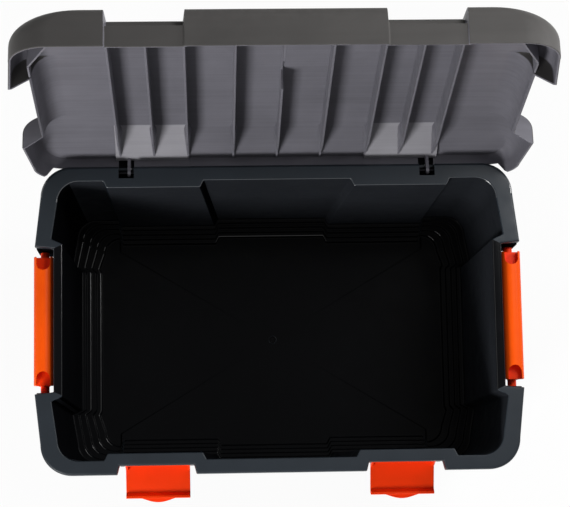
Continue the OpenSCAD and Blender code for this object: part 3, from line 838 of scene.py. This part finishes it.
def slot_cutters(box):
    """Blocks that cut the hinge slots through the rim, the top of its lip, and a gap for each tongue."""
    tub = box.tub
    half, gap_half = tub.slot_w / 2, box.lid.tongue_t / 2 + tub.tongue_gap
    inside, outside = tub.rim_d / 2 - tub.wall, tub.rim_d / 2 + LAP
    floor_z, lip_z, above = tub.rim_h - tub.slot_h, tub.rim_h - tub.lip_h + tub.slot_lip, tub.rim_h + LAP
    return (blocks_at(hinge_places(tub), half, HINGE.y - tub.slot_front, inside, floor_z, above)
            + blocks_at(hinge_places(tub), half, HINGE.y, outside, lip_z, above)
            + blocks_at(tongue_places(box), gap_half, HINGE.y, outside, floor_z, above))


def gate_mark(tub):
    """Low round mark that the mould leaves in the middle of the floor."""
    height = 0.0012
    mark = plate([disc(0, 0, tub.gate_d), disc(0, 0, 0.6 * tub.gate_d)], height, axis="Z")
    mark.transform(Matrix.Translation((0, 0, tub.floor_t)))
    return mark


def step_edge(tub, face):
    """Number of the floor step, from the top, whose rounded outer edge the face belongs to, or -1."""
    below_top = steps_top(tub) - face.center.z
    number = round(below_top / tub.step_rise)
    on_edge = 0 <= below_top - number * tub.step_rise < tub.step_r
    # A face of the edge is neither level, as a tread is, nor upright, as a riser is
    slanting = 0.12 < face.normal.z < 0.995
    return number if on_edge and slanting and 0 <= number < tub.steps else -1


def catches_light(tub, face):
    """True where a step's edge is bright in the photo, and so is made glossier."""
    number = step_edge(tub, face)
    x, y = face.center.xy
    if number < 0:
        return False
    if abs(x) < tub.channel_x / 2:
        lowest = tub.steps - 1
        return number == lowest and y > 0
    side_end = tub.bay_l / 2 + 0.02
    if abs(y) < side_end:
        return number in (1, 3) and x < 0
    sideways = abs(face.normal.x) / math.hypot(face.normal.x, face.normal.y)
    first, low, high = CORNER_SHINE.get((x > 0, y > 0), (0, 1, 1))
    return number >= first and low < sideways < high


def paint_inside(piece, tub):
    """Gives the walls, the floor, its steps and the edges that catch the light their finishes: painted shade
    on the floor, the steps, the left wall and the handle bays' strips, painted light on the other walls.
    """
    for name in INSIDE_FINISHES:
        piece.data.materials.append(finish_named(name))
    mouth = tub_plan(tub, tub.rim_h)
    walls_z = steps_top(tub) + 0.002
    rim_z = tub.rim_h - tub.inner_edge_r
    strip = tub.rim_w / 2 - tub.bay_in - tub.bay_rim
    strip_z = tub.rim_h - tub.lip_h
    back_y = 0.14
    for face in piece.data.polygons:
        x, y, z = face.center
        across, along, up = face.normal
        if 0.0005 < z < rim_z + 0.0005 and abs(x) < mouth.half and abs(y) < mouth.front:
            reach = tub_plan(tub, z).grown(LAP)
            in_reach = abs(x) < reach.half and abs(y) < reach.front
            faces_in = up > -0.2 and across * x + along * y < 1e-4
            if in_reach and faces_in:
                if catches_light(tub, face):
                    face.material_index = GLOSSY_EDGE
                elif z <= walls_z:
                    face.material_index = POLISHED_SHADE
                else:
                    # The left wall gets the floor's dark tone without gloss: painted shade
                    shaded_left_wall = x < 0 and across > 0.4
                    face.material_index = DULL_SHADE if shaded_left_wall else SATIN_LIT
        elif strip - LAP < abs(x) < strip + tub.bay_rim + LAP and abs(y) < tub.bay_l / 2 and z > strip_z:
            # The strip along each handle bay gets the floor's dark tone, which is painted shade, with a
            # glossy inner edge
            face.material_index = GLOSSY_EDGE if up < 0.98 and abs(x) < strip + 0.004 else POLISHED_SHADE
        elif z > rim_z - 0.0005 and up < 0.93 and back_y < y < mouth.back + LAP:
            face.material_index = GLOSSY_RIM


class BOX_OT_tub_mounts(bpy.types.Operator):
    """Make the lugs, cheeks and knuckles that carry the latches, handles and lid"""

    bl_idname = "expedition_box.tub_mounts"
    bl_label = "Lugs and Knuckles"

    def execute(self, context):
        box = context.scene.expedition_box
        place_on_tub("latch_lugs", latch_lugs(box), "slate plastic")
        # The cheeks and hinge pockets get the floor's dark tone without gloss: painted shade
        place_on_tub("tub_mounts", handle_cheeks(box) + hinge_pockets(box), "dull slate with painted shade")
        return {"FINISHED"}


def latch_lugs(box):
    """The two lugs of each latch pin, under the rim."""
    tub, latch = box.tub, box.latch
    root = -tub.rim_d / 2 + tub.latch_bay_in + tub.latch_rim - LAP
    under = tub.rim_h - tub.lip_h + LAP
    y, z = LATCH_PIVOT.y, LATCH_PIVOT.z
    outline = hull((root, under, 0.0004), (y - 0.003, under, 0.0004), (y, z, latch.barrel_d),
                   (root, z - 2 * latch.barrel_d, 0.002))
    lug = plate([outline, disc(y, z, latch.pin_d + PRESS_FIT)], latch.lug_t)
    reach = (latch.width + 2 * latch.side_fit + latch.lug_t) / 2
    finish = finish_named("slate plastic")
    return [pair(lug, reach, finish, side * LATCH_PIVOT.x) for side in SIDES]


def handle_cheeks(box):
    """The two cheeks of each handle, in its bay."""
    tub, handle = box.tub, box.handle
    root = tub.rim_w / 2 - tub.bay_in - tub.bay_rim
    face = tub.rim_w / 2 - tub.wall / 2
    z = HANDLE_PIVOT.z
    low = z - handle.stub_d / 2
    corners = [(root, tub.rim_h - 0.0035, 0), (face, tub.rim_h - 0.0145, 0.0005), (face, low - 0.020, 0.004),
               (face - 0.0100, low - 0.030, 0.006), (root, low - 0.045, 0)]
    apart = tub.bay_l + 2 * handle.side_fit + handle.cheek_t
    finish = finish_named("dull slate with painted shade")
    rows = []
    for side in SIDES:
        outline = rounded([(side * x, up, r) for x, up, r in corners])
        bearing = disc(side * HANDLE_PIVOT.x, z, handle.stub_d + RUNNING_FIT)
        cheek = plate([outline, bearing], handle.cheek_t, axis="Y")
        rows.append(row(cheek, (0, -apart / 2, 0), (0, apart, 0), 2, finish))
    return rows


def hinge_pockets(box):
    """Pocket under each hinge slot: two knuckles with the pin, a front wall and a floor."""
    tub = box.tub
    top = tub.rim_h - 0.0026
    lip = tub.rim_d / 2
    face = lip - 0.0026
    inside = HINGE.y - tub.slot_front
    front = inside - tub.wall
    floor_z = tub.rim_h - tub.slot_h
    under = floor_z - tub.wall
    outline = rounded([(front, top, 0), (face, top, 0), (face, under, 0.001), (front, under, 0.002)])
    knuckle = plate([outline, disc(HINGE.y, HINGE.z, box.latch.pin_d + PRESS_FIT)], tub.knuckle_t)
    corners = [(front, top, 0), (inside, top, 0), (inside, floor_z, 0.001), (face, floor_z, 0),
               (lip, floor_z, 0.0006), (lip, under, 0.0006), (front, under, 0.002)]
    floor = plate([rounded(corners)], tub.slot_w + 2 * tub.knuckle_t)
    reach = (tub.slot_w + tub.knuckle_t) / 2
    finish = finish_named("dull slate with painted shade")
    pockets = [pair(knuckle, reach, finish, x) for x in hinge_places(tub)]
    return pockets + [pair(floor, tub.hinge_x, finish)]


# Lid. It is shaped closed, with the rim's top at height 0, and then turned open.


def lid_turn(box):
    """Move from the closed lid's own heights to the open lid."""
    return (Matrix.Translation(HINGE) @ Matrix.Rotation(-box.lid.open_angle, 4, "X")
            @ Matrix.Translation((0, -HINGE.y, box.tub.rim_h - HINGE.z)))


def crease_y(box):
    """Place along the box where the slope towards the hinges starts."""
    return box.tub.rim_d / 2 - box.lid.slope_l


def slot_top(box):
    """Height of the top of the hinge slots in the lid's back edge."""
    return box.lid.rise - box.lid.slope_drop - box.tub.wall - 0.002


def skirt_plan(box):
    """Outline of the lid's skirt."""
    lid = box.lid
    plan = rim_plan(box.tub).grown(lid.gap + box.tub.wall)
    return plan._replace(back=box.tub.rim_d / 2, back_r=box.tub.corner_r,
                         notch=lid.notch_w / 2 + 0.0015, notch_slope=0.0025,
                         front_depth=lid.notch_face, back_depth=lid.hinge_face)


def notch_path(box, inset):
    """(y, z) of the lid across a latch notch, from its top down to the skirt."""
    lid = box.lid
    front = -skirt_plan(box).front
    back = front + lid.notch_in + inset
    face = front + lid.notch_face + inset
    fall = lid.ledge_fall / lid.notch_in
    ledge = lid.ledge_z - inset * (1 + fall)
    rise = (lid.rise - lid.ledge_z - lid.notch_step) / lid.notch_slope
    step_z = lid.ledge_z + lid.notch_step + inset * (rise - math.hypot(1, rise))
    top = lid.rise - inset
    top_y = back + (top - step_z) / rise
    corners = [(top_y + 0.006, top, 0), (top_y, top, 0.008), (back, step_z, 0.002), (back, ledge, 0.0015),
               (face, ledge - (back - face) * fall, 0.0012), (face, 0.004 - inset, 0)]
    return rounded(corners, 3)[1:]


def lid_face(box, inset):
    """Rings of the lid's outer face, or of its inner face with an inset, from the top to the skirt."""
    lid = box.lid
    base = skirt_plan(box).grown(-inset)
    if inset:
        base = base._replace(notch=base.notch + inset * 0.6)
    path = notch_path(box, inset)
    top = lid.rise - inset
    rings = []
    for i, (notch_y, notch_z) in enumerate(path):
        t = i / (len(path) - 1)
        # How far the face still is in from the skirt, of the shoulder, and how far it has come down
        side = (1 - t) ** 3 + 3 * 0.41 * (1 - t) ** 2 * t
        fall = 3 * 0.35 * (1 - t) * t ** 2 + 0.9 * t ** 3
        front = lid.edge_r * (1 - math.sqrt(1 - max(0, 1 - fall / 0.3) ** 2))
        shoulder = side * lid.shoulder
        plan = base._replace(
            half=base.half - shoulder, corner=base.corner - shoulder, front=base.front - front,
            back=base.back - front, front_r=base.front_r - front, back_r=base.back_r - front,
            bay_depth=max(base.bay_depth - 0.38 * shoulder, lid.hinge_face))
        ring = plan.ring(top - fall * (lid.rise - 0.001))
        share = np.array([column[2] for column in plan.columns()])
        ring[:, 1] += (notch_y - ring[:, 1]) * share
        ring[:, 2] += (notch_z - ring[:, 2]) * share
        rings.append(ring)
    cap = base.grown(-lid.edge_r)
    cap = cap._replace(half=cap.half - lid.shoulder, corner=cap.corner - lid.shoulder).plain()
    return [cap.ring(top)] + rings, base


def seated(box, ring, base):
    """Ring with its low points raised where the skirt ends on top of the rim."""
    tub, lid = box.tub, box.lid
    # Points under the limit are raised. At the back that starts at an inset and takes the width of the ease.
    low, limit, inset, ease = -lid.overlap, 0.006, 0.006, 0.009
    across, along, up = np.abs(ring[:, 0]), ring[:, 1], ring[:, 2]
    skirt = tub.rim_w / 2 + lid.gap
    inside = tub.rim_w / 2 - tub.bay_in + tub.wall
    bay = np.clip((skirt - across) / (skirt - inside), 0, 1) * (np.abs(along) < base.bay + 0.0001)
    corner = tub.rim_w / 2 - tub.corner_slant - inset
    back = np.clip((corner - across) / ease, 0, 1) * (along > tub.rim_d / 2 - tub.corner_r)
    edge = low + (lid.seat - low) * np.maximum(bay, back)
    squeezed = edge + (up - low) / (limit - low) * (limit - edge)
    return np.column_stack((ring[:, 0], along, np.where(up < limit, squeezed, up)))


def slope_down(bm, faces, top, box):
    """Cuts the faces along the slope towards the hinges and lays what is above it on the slope."""
    fall = box.lid.slope_drop / box.lid.slope_l
    crease = crease_y(box)
    geometry = set(faces)
    for face in faces:
        geometry.update(face.edges)
        geometry.update(face.verts)
    result = bmesh.ops.bisect_plane(bm, geom=list(geometry), dist=1e-7, plane_co=(0, crease, top),
                                    plane_no=(0, fall, 1))
    for item in result["geom"]:
        if isinstance(item, bmesh.types.BMVert) and item.co.y > crease:
            item.co.z = min(item.co.z, top - (item.co.y - crease) * fall)


class BOX_OT_lid(bpy.types.Operator):
    """Make the lid's shell"""

    bl_idname = "expedition_box.lid"
    bl_label = "Lid"

    def execute(self, context):
        box = context.scene.expedition_box
        lid, tub = box.lid, box.tub
        outer, outer_base = lid_face(box, 0)
        inner, inner_base = lid_face(box, tub.wall)
        rings = [(seated(box, ring, outer_base), 0) for ring in outer]
        rings += [(seated(box, base.ring(-lid.overlap), base), 0.0012) for base in (outer_base, inner_base)]
        rings += [(seated(box, ring, inner_base), 0) for ring in reversed(inner)]
        bm, bands = skin(eased(rings))
        half = len(bands) // 2
        slope_down(bm, [face for band in bands[:half] for face in band], lid.rise, box)
        slope_down(bm, [face for band in bands[half + 1:] for face in band], lid.rise - tub.wall, box)
        back = tub.rim_d / 2
        slots = blocks_at(hinge_places(tub), tub.slot_w / 2, back - 2 * tub.wall, back - lid.hinge_face - LAP,
                          -LAP, slot_top(box))
        piece = place_on_lid("lid_shell", [cut(closed(bm), slots)], "smooth grey plastic", box)
        paint_outside(piece, box)
        return {"FINISHED"}


def paint_outside(piece, box):
    """Gives the grained finish, darker with painted shade, to the outer faces of the lid, and a dark one,
    which is painted shade, to its hinge slots.
    """
    tub = box.tub
    piece.data.materials.append(finish_named("grained grey with painted shade"))
    piece.data.materials.append(finish_named("polished slate with painted shade"))
    hinge_wall = tub.rim_d / 2 - 2 * tub.wall
    slot_half = tub.slot_w / 2 + 0.0001
    dark_top = slot_top(box) + LAP
    back = lid_turn(box).inverted()
    turn = back.to_3x3()
    middle = Vector((0, 0, -box.lid.overlap))
    for face in piece.data.polygons:
        closed_at = back @ face.center
        if (turn @ face.normal).dot(closed_at - middle) > 0.0015:
            face.material_index = 1
        elif closed_at.y > hinge_wall and abs(abs(closed_at.x) - tub.hinge_x) < slot_half:
            # The slots' faces get the tub floor's dark tone: painted shade
            face.material_index = 2 if closed_at.z < dark_top else 0


def rib_outline(box, under_ledge, notched=False):
    """Side view of a rib, from the front wall to the hinges."""
    lid = box.lid
    front = -skirt_plan(box).front + RIB_INSET
    crease = crease_y(box)
    back = box.tub.rim_d / 2 - RIB_INSET
    top = lid.rise - RIB_SINK
    corners = [(front, lid.seat, 0.001)]
    if notched:
        notch_z = lid.rise - 0.005
        corners += [(-0.122, lid.seat, 0.001), (-0.120, notch_z, 0.002),
                    (-0.050, notch_z, 0.004), (-0.046, lid.seat, 0.002)]
    corners += [(crease, lid.seat, 0.02), (crease + lid.block_l, lid.block_z + 0.001, 0.004),
                (back, lid.block_z + 0.0025, 0), (back, top - lid.slope_drop, 0), (crease, top, 0)]
    if under_ledge:
        path = notch_path(box, box.tub.wall / 2)
        corners += [(y, z, 0) for y, z in path[3:-1]] + [(front + RIB_INSET, 0.007, 0)]
    else:
        corners += [(front + lid.edge_r, top, 0), (front, lid.rise - 0.010, 0)]
    return rounded(corners)


def beside_latches(lid, mesh, finish):
    """Mesh three times at each latch, a rib's step apart."""
    return [row(mesh, (side * LATCH_PIVOT.x - lid.rib_step, 0, 0), (lid.rib_step, 0, 0), 3, finish)
            for side in SIDES]


class BOX_OT_lid_ribs(bpy.types.Operator):
    """Make the ribs, hinge blocks and tongues of the lid"""

    bl_idname = "expedition_box.lid_ribs"
    bl_label = "Lid Ribs"

    def execute(self, context):
        box = context.scene.expedition_box
        lid = box.lid
        finish = finish_named("smooth grey plastic")
        beside = plate([rib_outline(box, True)], lid.rib_t)
        middle = plate([rib_outline(box, False)], lid.rib_t)
        notched = plate([rib_outline(box, False, True)], lid.rib_t)
        ribs = beside_latches(lid, beside, finish) + [pair(middle, lid.rib_mid_x, finish), notched]
        place_on_lid("lid_ribs", ribs + corner_ribs(box) + rib_feet(box), "smooth grey plastic", box)
        place_on_lid("lid_hinge_blocks", hinge_blocks(box), "grey plastic with painted light", box)
        place_on_lid("lid_tongues", hinge_tongues(box), "smooth grey plastic", box)
        return {"FINISHED"}


def rib_feet(box):
    """Flare on both sides of each rib where it runs down to the hinges."""
    lid = box.lid
    crease = crease_y(box)
    start = crease - 0.004
    ceiling = lid.rise - box.tub.wall
    half = lid.rib_t / 2
    steps = 12
    bm = bmesh.new()
    rings = []
    for i in range(steps + 1):
        t = i / steps
        y = start + (crease + lid.block_l - start) * t
        down = max(0, (y - crease) / lid.block_l)
        flare = half + (lid.foot_w / 2 - half) * math.sin(math.pi * min(1, t * 5) / 2) * (1 - t) ** 0.8
        roof = ceiling - (ceiling - lid.block_z) * down
        low = lid.seat + (lid.block_z - lid.seat) * down
        low = low + (roof - low) * (0.25 + 0.55 * t)
        section = ((flare, roof + LAP), (flare * 0.8, (roof + low) / 2), (half, low))
        rings.append([bm.verts.new((-x, y, z)) for x, z in section]
                     + [bm.verts.new((x, y, z)) for x, z in reversed(section)])
    count = len(rings[0])
    for first, second in zip(rings, rings[1:]):
        for k in range(count):
            after = (k + 1) % count
            bm.faces.new((first[k], first[after], second[after], second[k]))
    bm.faces.new(rings[0])
    bm.faces.new(rings[-1])
    foot = closed(bm)
    finish = finish_named("smooth grey plastic")
    middle = row(foot, (-lid.rib_mid_x, 0, 0), (lid.rib_mid_x, 0, 0), 3, finish)
    return beside_latches(lid, foot, finish) + [middle]


def corner_ribs(box):
    """Diagonal rib across each front corner of the lid, carried on to the end of the handle bay."""
    tub, lid = box.tub, box.lid
    front = -skirt_plan(box).front + RIB_INSET
    top = lid.rise - 0.0025
    bay_wall = tub.rim_w / 2 - tub.bay_in + lid.gap + tub.wall
    wing_l, wing_z = 0.026, top - 0.006
    wing = plate([rounded([(0, lid.seat, 0), (wing_l, lid.seat, 0), (wing_l, wing_z, 0), (0, wing_z, 0)])],
                 lid.rib_t)
    meshes = []
    for side in SIDES:
        start = Vector((side * (bay_wall - lid.rib_t / 2), -tub.bay_l / 2 - lid.corner_rib_y, 0))
        way = Vector((side * (tub.rim_w / 2 - lid.corner_rib_x), front, 0)) - start
        outline = rounded([(0, lid.seat, 0.001), (way.length, lid.seat, 0.001), (way.length, top - 0.008, 0),
                           (way.length - 0.006, top, 0), (0, top - 0.004, 0)])
        rib = plate([outline], lid.rib_t, axis="Y")
        rib.transform(Matrix.Translation(start) @ Matrix.Rotation(math.atan2(way.y, way.x), 4, "Z"))
        side_wall = wing.copy()
        side_wall.transform(Matrix.Translation(start))
        meshes += [rib, side_wall]
    return meshes


def hinge_blocks(box):
    """Lowered ceiling over each hinge."""
    lid = box.lid
    crease = crease_y(box)
    back = box.tub.rim_d / 2 - 0.0025
    top = lid.rise - RIB_SINK
    bend = crease + 0.85 * (back - crease)
    outline = rounded([(crease - 0.002, top - 0.0015, 0), (crease, lid.rise - box.tub.wall, 0.004),
                       (bend, lid.block_z + 0.0015, 0.006), (back, lid.block_z, 0.001), (back, 0.0145, 0),
                       (crease + lid.block_l, 0.020, 0), (crease + 0.020, top - 0.005, 0)])
    overhang = 0.003
    block = plate([outline], lid.notch_w + 2 * overhang, 0.0008)
    # The blocks' paler tone is painted light
    return [pair(block, LATCH_PIVOT.x + overhang, finish_named("grey plastic with painted light"))]


def hinge_tongues(box):
    """Tongue with an eye on each hinge pin."""
    tub, lid = box.tub, box.lid
    z = HINGE.z - tub.rim_h
    back = tub.rim_d / 2 - 0.0013
    top = lid.rise - lid.slope_drop - LAP
    outline = hull((HINGE.y, z, 2 * box.latch.pin_d), (HINGE.y - 0.0015, top, 0.001), (back, top, 0.001),
                   (back, -0.002, 0.002))
    tongue = plate([outline, disc(HINGE.y, z, box.latch.pin_d + RUNNING_FIT)], lid.tongue_t)
    left, right = tongue_places(box)
    return [row(tongue, (left, 0, 0), (right - left, 0, 0), 2, finish_named("smooth grey plastic"))]


# Latches


def latch_profile(latch):
    """Side view of a closed latch round its pin: arm, plate and hook."""
    face = -latch.face
    outer = face - latch.thickness
    barrel = latch.barrel_d / 2
    top = latch.plate_h
    tip = face + latch.hook_reach
    return rounded([
        (-barrel * 0.2, -barrel * 0.97, 0), (-barrel * 0.9, -0.0028, 0.001), (outer, 0.0012, 0.003),
        (outer, top, 0.0014), (tip, top, 0.0008), (tip + 0.0008, top - 0.0012, 0.0004),
        (tip, latch.hook_z + 0.0006, 0.0006), (face, latch.hook_z - 0.002, 0.002), (face, 0.0046, 0.003),
        (0, -barrel * 0.3, 0)])


def tab_outline(latch):
    """Front view of the bell-shaped finger tab above the plate."""
    steps = 24
    half = latch.tab_w / 2
    points = [(-half, latch.plate_h - 0.003)]
    for i in range(steps + 1):
        t = i / steps * 2 - 1
        points.append((t * half, latch.plate_h - LAP + latch.tab_h * math.cos(t * math.pi / 2) ** 2))
    return points + [(half, latch.plate_h - 0.003)]


class BOX_OT_latches(bpy.types.Operator):
    """Make the two front latches, let down"""

    bl_idname = "expedition_box.latches"
    bl_label = "Latches"

    def execute(self, context):
        latch = context.scene.expedition_box.latch
        barrel = latch.barrel_d
        # The latches' deeper orange is painted shade
        finish = finish_named("orange plastic with painted shade")
        body = plate([latch_profile(latch)], latch.width, 0.0006)
        pipe = plate([disc(0, 0, barrel), disc(0, 0, latch.pin_d + RUNNING_FIT)], latch.width)
        outer = -latch.face - 0.001
        wall = plate([hull((-0.0012, 0.0012, barrel * 0.6), (outer, 0.003, 0.002), (outer, 0.0145, 0.002),
                           (-latch.face + 0.0035, 0.0135, 0.001))], latch.side_t)
        walls = pair(wall, (latch.width - latch.side_t) / 2, finish)
        tab = plate([tab_outline(latch)], latch.thickness, 0.0008, axis="Y")
        tab.transform(Matrix.Translation((0, -latch.face - latch.thickness / 2, 0)))
        for side, name in NAMED_SIDES:
            mesh = joined([body, pipe, walls, tab])
            pivot = Vector((side * LATCH_PIVOT.x, LATCH_PIVOT.y, LATCH_PIVOT.z))
            mesh.transform(Matrix.Translation(pivot) @ Matrix.Rotation(latch.open_angle, 4, "X"))
            place(f"front_latch_{name}_moulding", mesh, finish, f"latch_{name}", "orange_plastic",
                  f"front_latch_{name}")
        return {"FINISHED"}


# Handles


def grip_section(handle, crown):
    """Section of the grip, a half tube with straight edges."""
    outer = handle.grip_w / 2
    inner = outer - handle.wall
    centre = crown - outer
    low = crown - handle.grip_h
    steps, bevel = 28, 0.0008
    return ([(outer - bevel, low), (outer, low + bevel)] + arc(0, centre, outer, 0, 180, steps)
            + [(-outer, low + bevel), (-outer + bevel, low), (-inner - bevel, low), (-inner, low + bevel)]
            + arc(0, centre, inner, 180, -180, steps) + [(inner, low + bevel), (inner + bevel, low)])


class BOX_OT_handles(bpy.types.Operator):
    """Make the two side handles, raised"""

    bl_idname = "expedition_box.handles"
    bl_label = "Handles"

    def execute(self, context):
        box = context.scene.expedition_box
        handle = box.handle
        crown = box.tub.rim_h - HANDLE_PIVOT.z - handle.drop
        low = crown - handle.grip_h
        notch_r = handle.notch_r
        notch_y = handle.grip_l / 2 - handle.notch_l + notch_r
        grip = plate([grip_section(handle, crown)], handle.grip_l, 0.0008, axis="Y")
        cutters = []
        for way in SIDES:
            end_y = way * (notch_y + handle.grip_w)
            round_end = arc(0, way * notch_y, notch_r, 0, -180 * way, 24)
            cutter = plate([round_end + [(-notch_r, end_y), (notch_r, end_y)]], handle.grip_w, 0, axis="Z")
            cutter.transform(Matrix.Translation((0, 0, low + handle.web_t + handle.grip_w / 2)))
            cutters.append(cutter)
        # The arms, webs, bosses and stubs at the grip's ends get the deeper orange: painted shade
        parts = (("grip", [cut(grip, cutters)], "orange plastic"),
                 ("ends", handle_ends(box, low), "orange plastic with painted shade"))
        for side, name in NAMED_SIDES:
            for part, meshes, finish in parts:
                mesh = joined(meshes)
                mesh.transform(Matrix.Translation((side * HANDLE_PIVOT.x, 0, HANDLE_PIVOT.z)))
                place(f"side_handle_{name}_{part}", mesh, finish_named(finish), f"handle_{name}",
                      "orange_plastic", f"side_handle_{name}")
        return {"FINISHED"}


def handle_ends(box, low):
    """Arms, webs, bosses and stubs at both ends of a grip."""
    handle = box.handle
    edge = 0.0004
    half = handle.grip_w / 2 - handle.wall + edge
    end = handle.grip_l / 2
    bay_end = box.tub.bay_l / 2
    inner_end = end - handle.arm_t
    outer_end = bay_end + handle.side_fit + handle.cheek_t
    toe = 0.001
    arm = plate([hull((0, 0, handle.stub_d + 4 * toe), (half - toe, low + toe, 2 * toe),
                      (toe - half, low + toe, 2 * toe))], handle.arm_t - edge, axis="Y")
    web_l = handle.notch_l + 0.002
    web_z = low + handle.web_t
    web = plate([rounded([(-half, low, 0), (half, low, 0), (half, web_z, 0), (-half, web_z, 0)])],
                web_l, edge, axis="Y")
    boss_l = bay_end - inner_end
    boss = plate([disc(0, 0, handle.stub_d + 0.003)], boss_l, axis="Y")
    stub = plate([disc(0, 0, handle.stub_d)], outer_end - inner_end, 0.0006, axis="Y")
    middles = ((arm, end - handle.arm_t / 2 - edge / 2), (web, end - web_l / 2),
               (boss, inner_end + boss_l / 2), (stub, (inner_end + outer_end) / 2))
    meshes = []
    for way in SIDES:
        for item, middle in middles:
            copy = item.copy()
            copy.transform(Matrix.Translation((0, way * middle, 0)))
            meshes.append(copy)
    return meshes


class BOX_OT_pins(bpy.types.Operator):
    """Give the hinge and latch pins their steel"""

    bl_idname = "expedition_box.pins"
    bl_label = "Pins"

    def execute(self, context):
        for name in ("hinge_pin_left", "hinge_pin_right", "latch_pin_left", "latch_pin_right"):
            pin = frame["nodes"][name]
            pin.data.materials.clear()
            pin.data.materials.append(finish_named("pin steel"))
        return {"FINISHED"}


# Stage


def white_to_camera(tree, lit, white):
    """Shader that is lit for the box and white for the camera, for gloss and for what is clear."""
    path = node(tree, "ShaderNodeLightPath").outputs
    rays = path["Is Camera Ray"]
    for other in ("Is Glossy Ray", "Is Transmission Ray"):
        rays = node(tree, "ShaderNodeMath", {0: rays, 1: path[other]}, operation="MAXIMUM").outputs["Value"]
    return node(tree, "ShaderNodeMixShader", {"Fac": rays, 1: lit, 2: white}).outputs["Shader"]


def area_lamp(name, place_at, target, width, power):
    """Square soft light that looks at a target."""
    lamp = bpy.data.lights.new(name, "AREA")
    lamp.size = width
    lamp.energy = power
    obj = linked(name, lamp)
    obj.location = place_at
    obj.rotation_euler = (Vector(target) - Vector(place_at)).to_track_quat("-Z", "Y").to_euler()
    obj.visible_camera = False


class BOX_OT_stage(bpy.types.Operator):
    """Make the floor, the lamps and the camera"""

    bl_idname = "expedition_box.stage"
    bl_label = "Stage"

    def execute(self, context):
        studio = context.scene.expedition_box.studio
        self.floor()
        self.world(studio)
        for (name, lamp), power in zip(LAMPS.items(), (studio.key, studio.side, studio.top)):
            area_lamp(name, *lamp, power)
        self.camera(studio)
        context.scene.view_settings.view_transform = "Standard"
        return {"FINISHED"}

    def floor(self):
        """Plain pale floor that keeps a faint shadow."""
        half, depth, gap = 4, 0.02, 0.0004
        mesh = box_mesh((-half, -half, -depth), (half, half, -gap))
        floor = linked("floor", mesh)
        material, tree, shader = new_material("pale floor")
        feed(tree, shader, {"Base Color": (0.9, 0.9, 0.9, 1), "Roughness": 0.9})
        lit = shader.outputs["BSDF"]
        glow_share = 0.93
        glow = node(tree, "ShaderNodeEmission", {"Color": WHITE, "Strength": 1}).outputs["Emission"]
        pale = node(tree, "ShaderNodeMixShader", {"Fac": glow_share, 1: lit, 2: glow}).outputs["Shader"]
        feed(tree, tree.nodes["Material Output"], {"Surface": white_to_camera(tree, lit, pale)})
        mesh.materials.append(material)

    def world(self, studio):
        """Even light all round, white behind the box."""
        world = bpy.data.worlds.new("studio")
        bpy.context.scene.world = world
        world.use_nodes = True
        tree = world.node_tree
        tree.nodes.clear()
        lit, white = (node(tree, "ShaderNodeBackground", {"Color": WHITE, "Strength": strength})
                      for strength in (studio.sky, 1))
        result = white_to_camera(tree, lit.outputs["Background"], white.outputs["Background"])
        node(tree, "ShaderNodeOutputWorld", {"Surface": result})

    def camera(self, studio):
        """Camera above the box, tipped a little to the back and the right."""
        data = bpy.data.cameras.new("camera")
        data.lens = studio.lens
        data.sensor_width = 36
        data.clip_end = 50
        camera = linked("camera", data)
        back = Vector(CAMERA_BACK).normalized()
        right = Vector(CAMERA_RIGHT)
        right = (right - back * right.dot(back)).normalized()
        turn = Matrix((right, back.cross(right), back)).transposed()
        camera.matrix_world = Matrix.Translation(studio.camera_place) @ turn.to_4x4()
        bpy.context.scene.camera = camera


class BOX_PT_panel(bpy.types.Panel):
    """Sidebar panel with the steps that make the box"""

    bl_idname = "BOX_PT_panel"
    bl_label = "Expedition Box"
    bl_space_type = "VIEW_3D"
    bl_region_type = "UI"
    bl_category = "Expedition Box"

    def draw(self, context):
        box = context.scene.expedition_box
        for operator in OPERATORS:
            self.layout.operator(operator.bl_idname)
        for group in (box.tub, box.lid, box.latch, box.handle, box.finish, box.studio):
            area = self.layout.box()
            for key in group.bl_rna.properties.keys():
                if key not in ("rna_type", "name"):
                    area.prop(group, key)


OPERATORS = (BOX_OT_tub, BOX_OT_tub_mounts, BOX_OT_lid, BOX_OT_lid_ribs, BOX_OT_latches, BOX_OT_handles,
             BOX_OT_pins, BOX_OT_stage)
GROUPS = (TubSettings, LidSettings, LatchSettings, HandleSettings, FinishSettings, StudioSettings,
          BoxSettings)


def register():
    """Adds the settings, the steps and the panel to Blender."""
    for item in GROUPS + OPERATORS + (BOX_PT_panel,):
        bpy.utils.register_class(item)
    bpy.types.Scene.expedition_box = PointerProperty(type=BoxSettings)


def unregister():
    """Takes them out again."""
    del bpy.types.Scene.expedition_box
    for item in reversed(GROUPS + OPERATORS + (BOX_PT_panel,)):
        bpy.utils.unregister_class(item)


def main():
    """Makes the whole box."""
    register()
    steps = bpy.ops.expedition_box
    steps.tub()
    steps.tub_mounts()
    steps.lid()
    steps.lid_ribs()
    steps.latches()
    steps.handles()
    steps.pins()
    steps.stage()


if __name__ == "__main__":
    main()
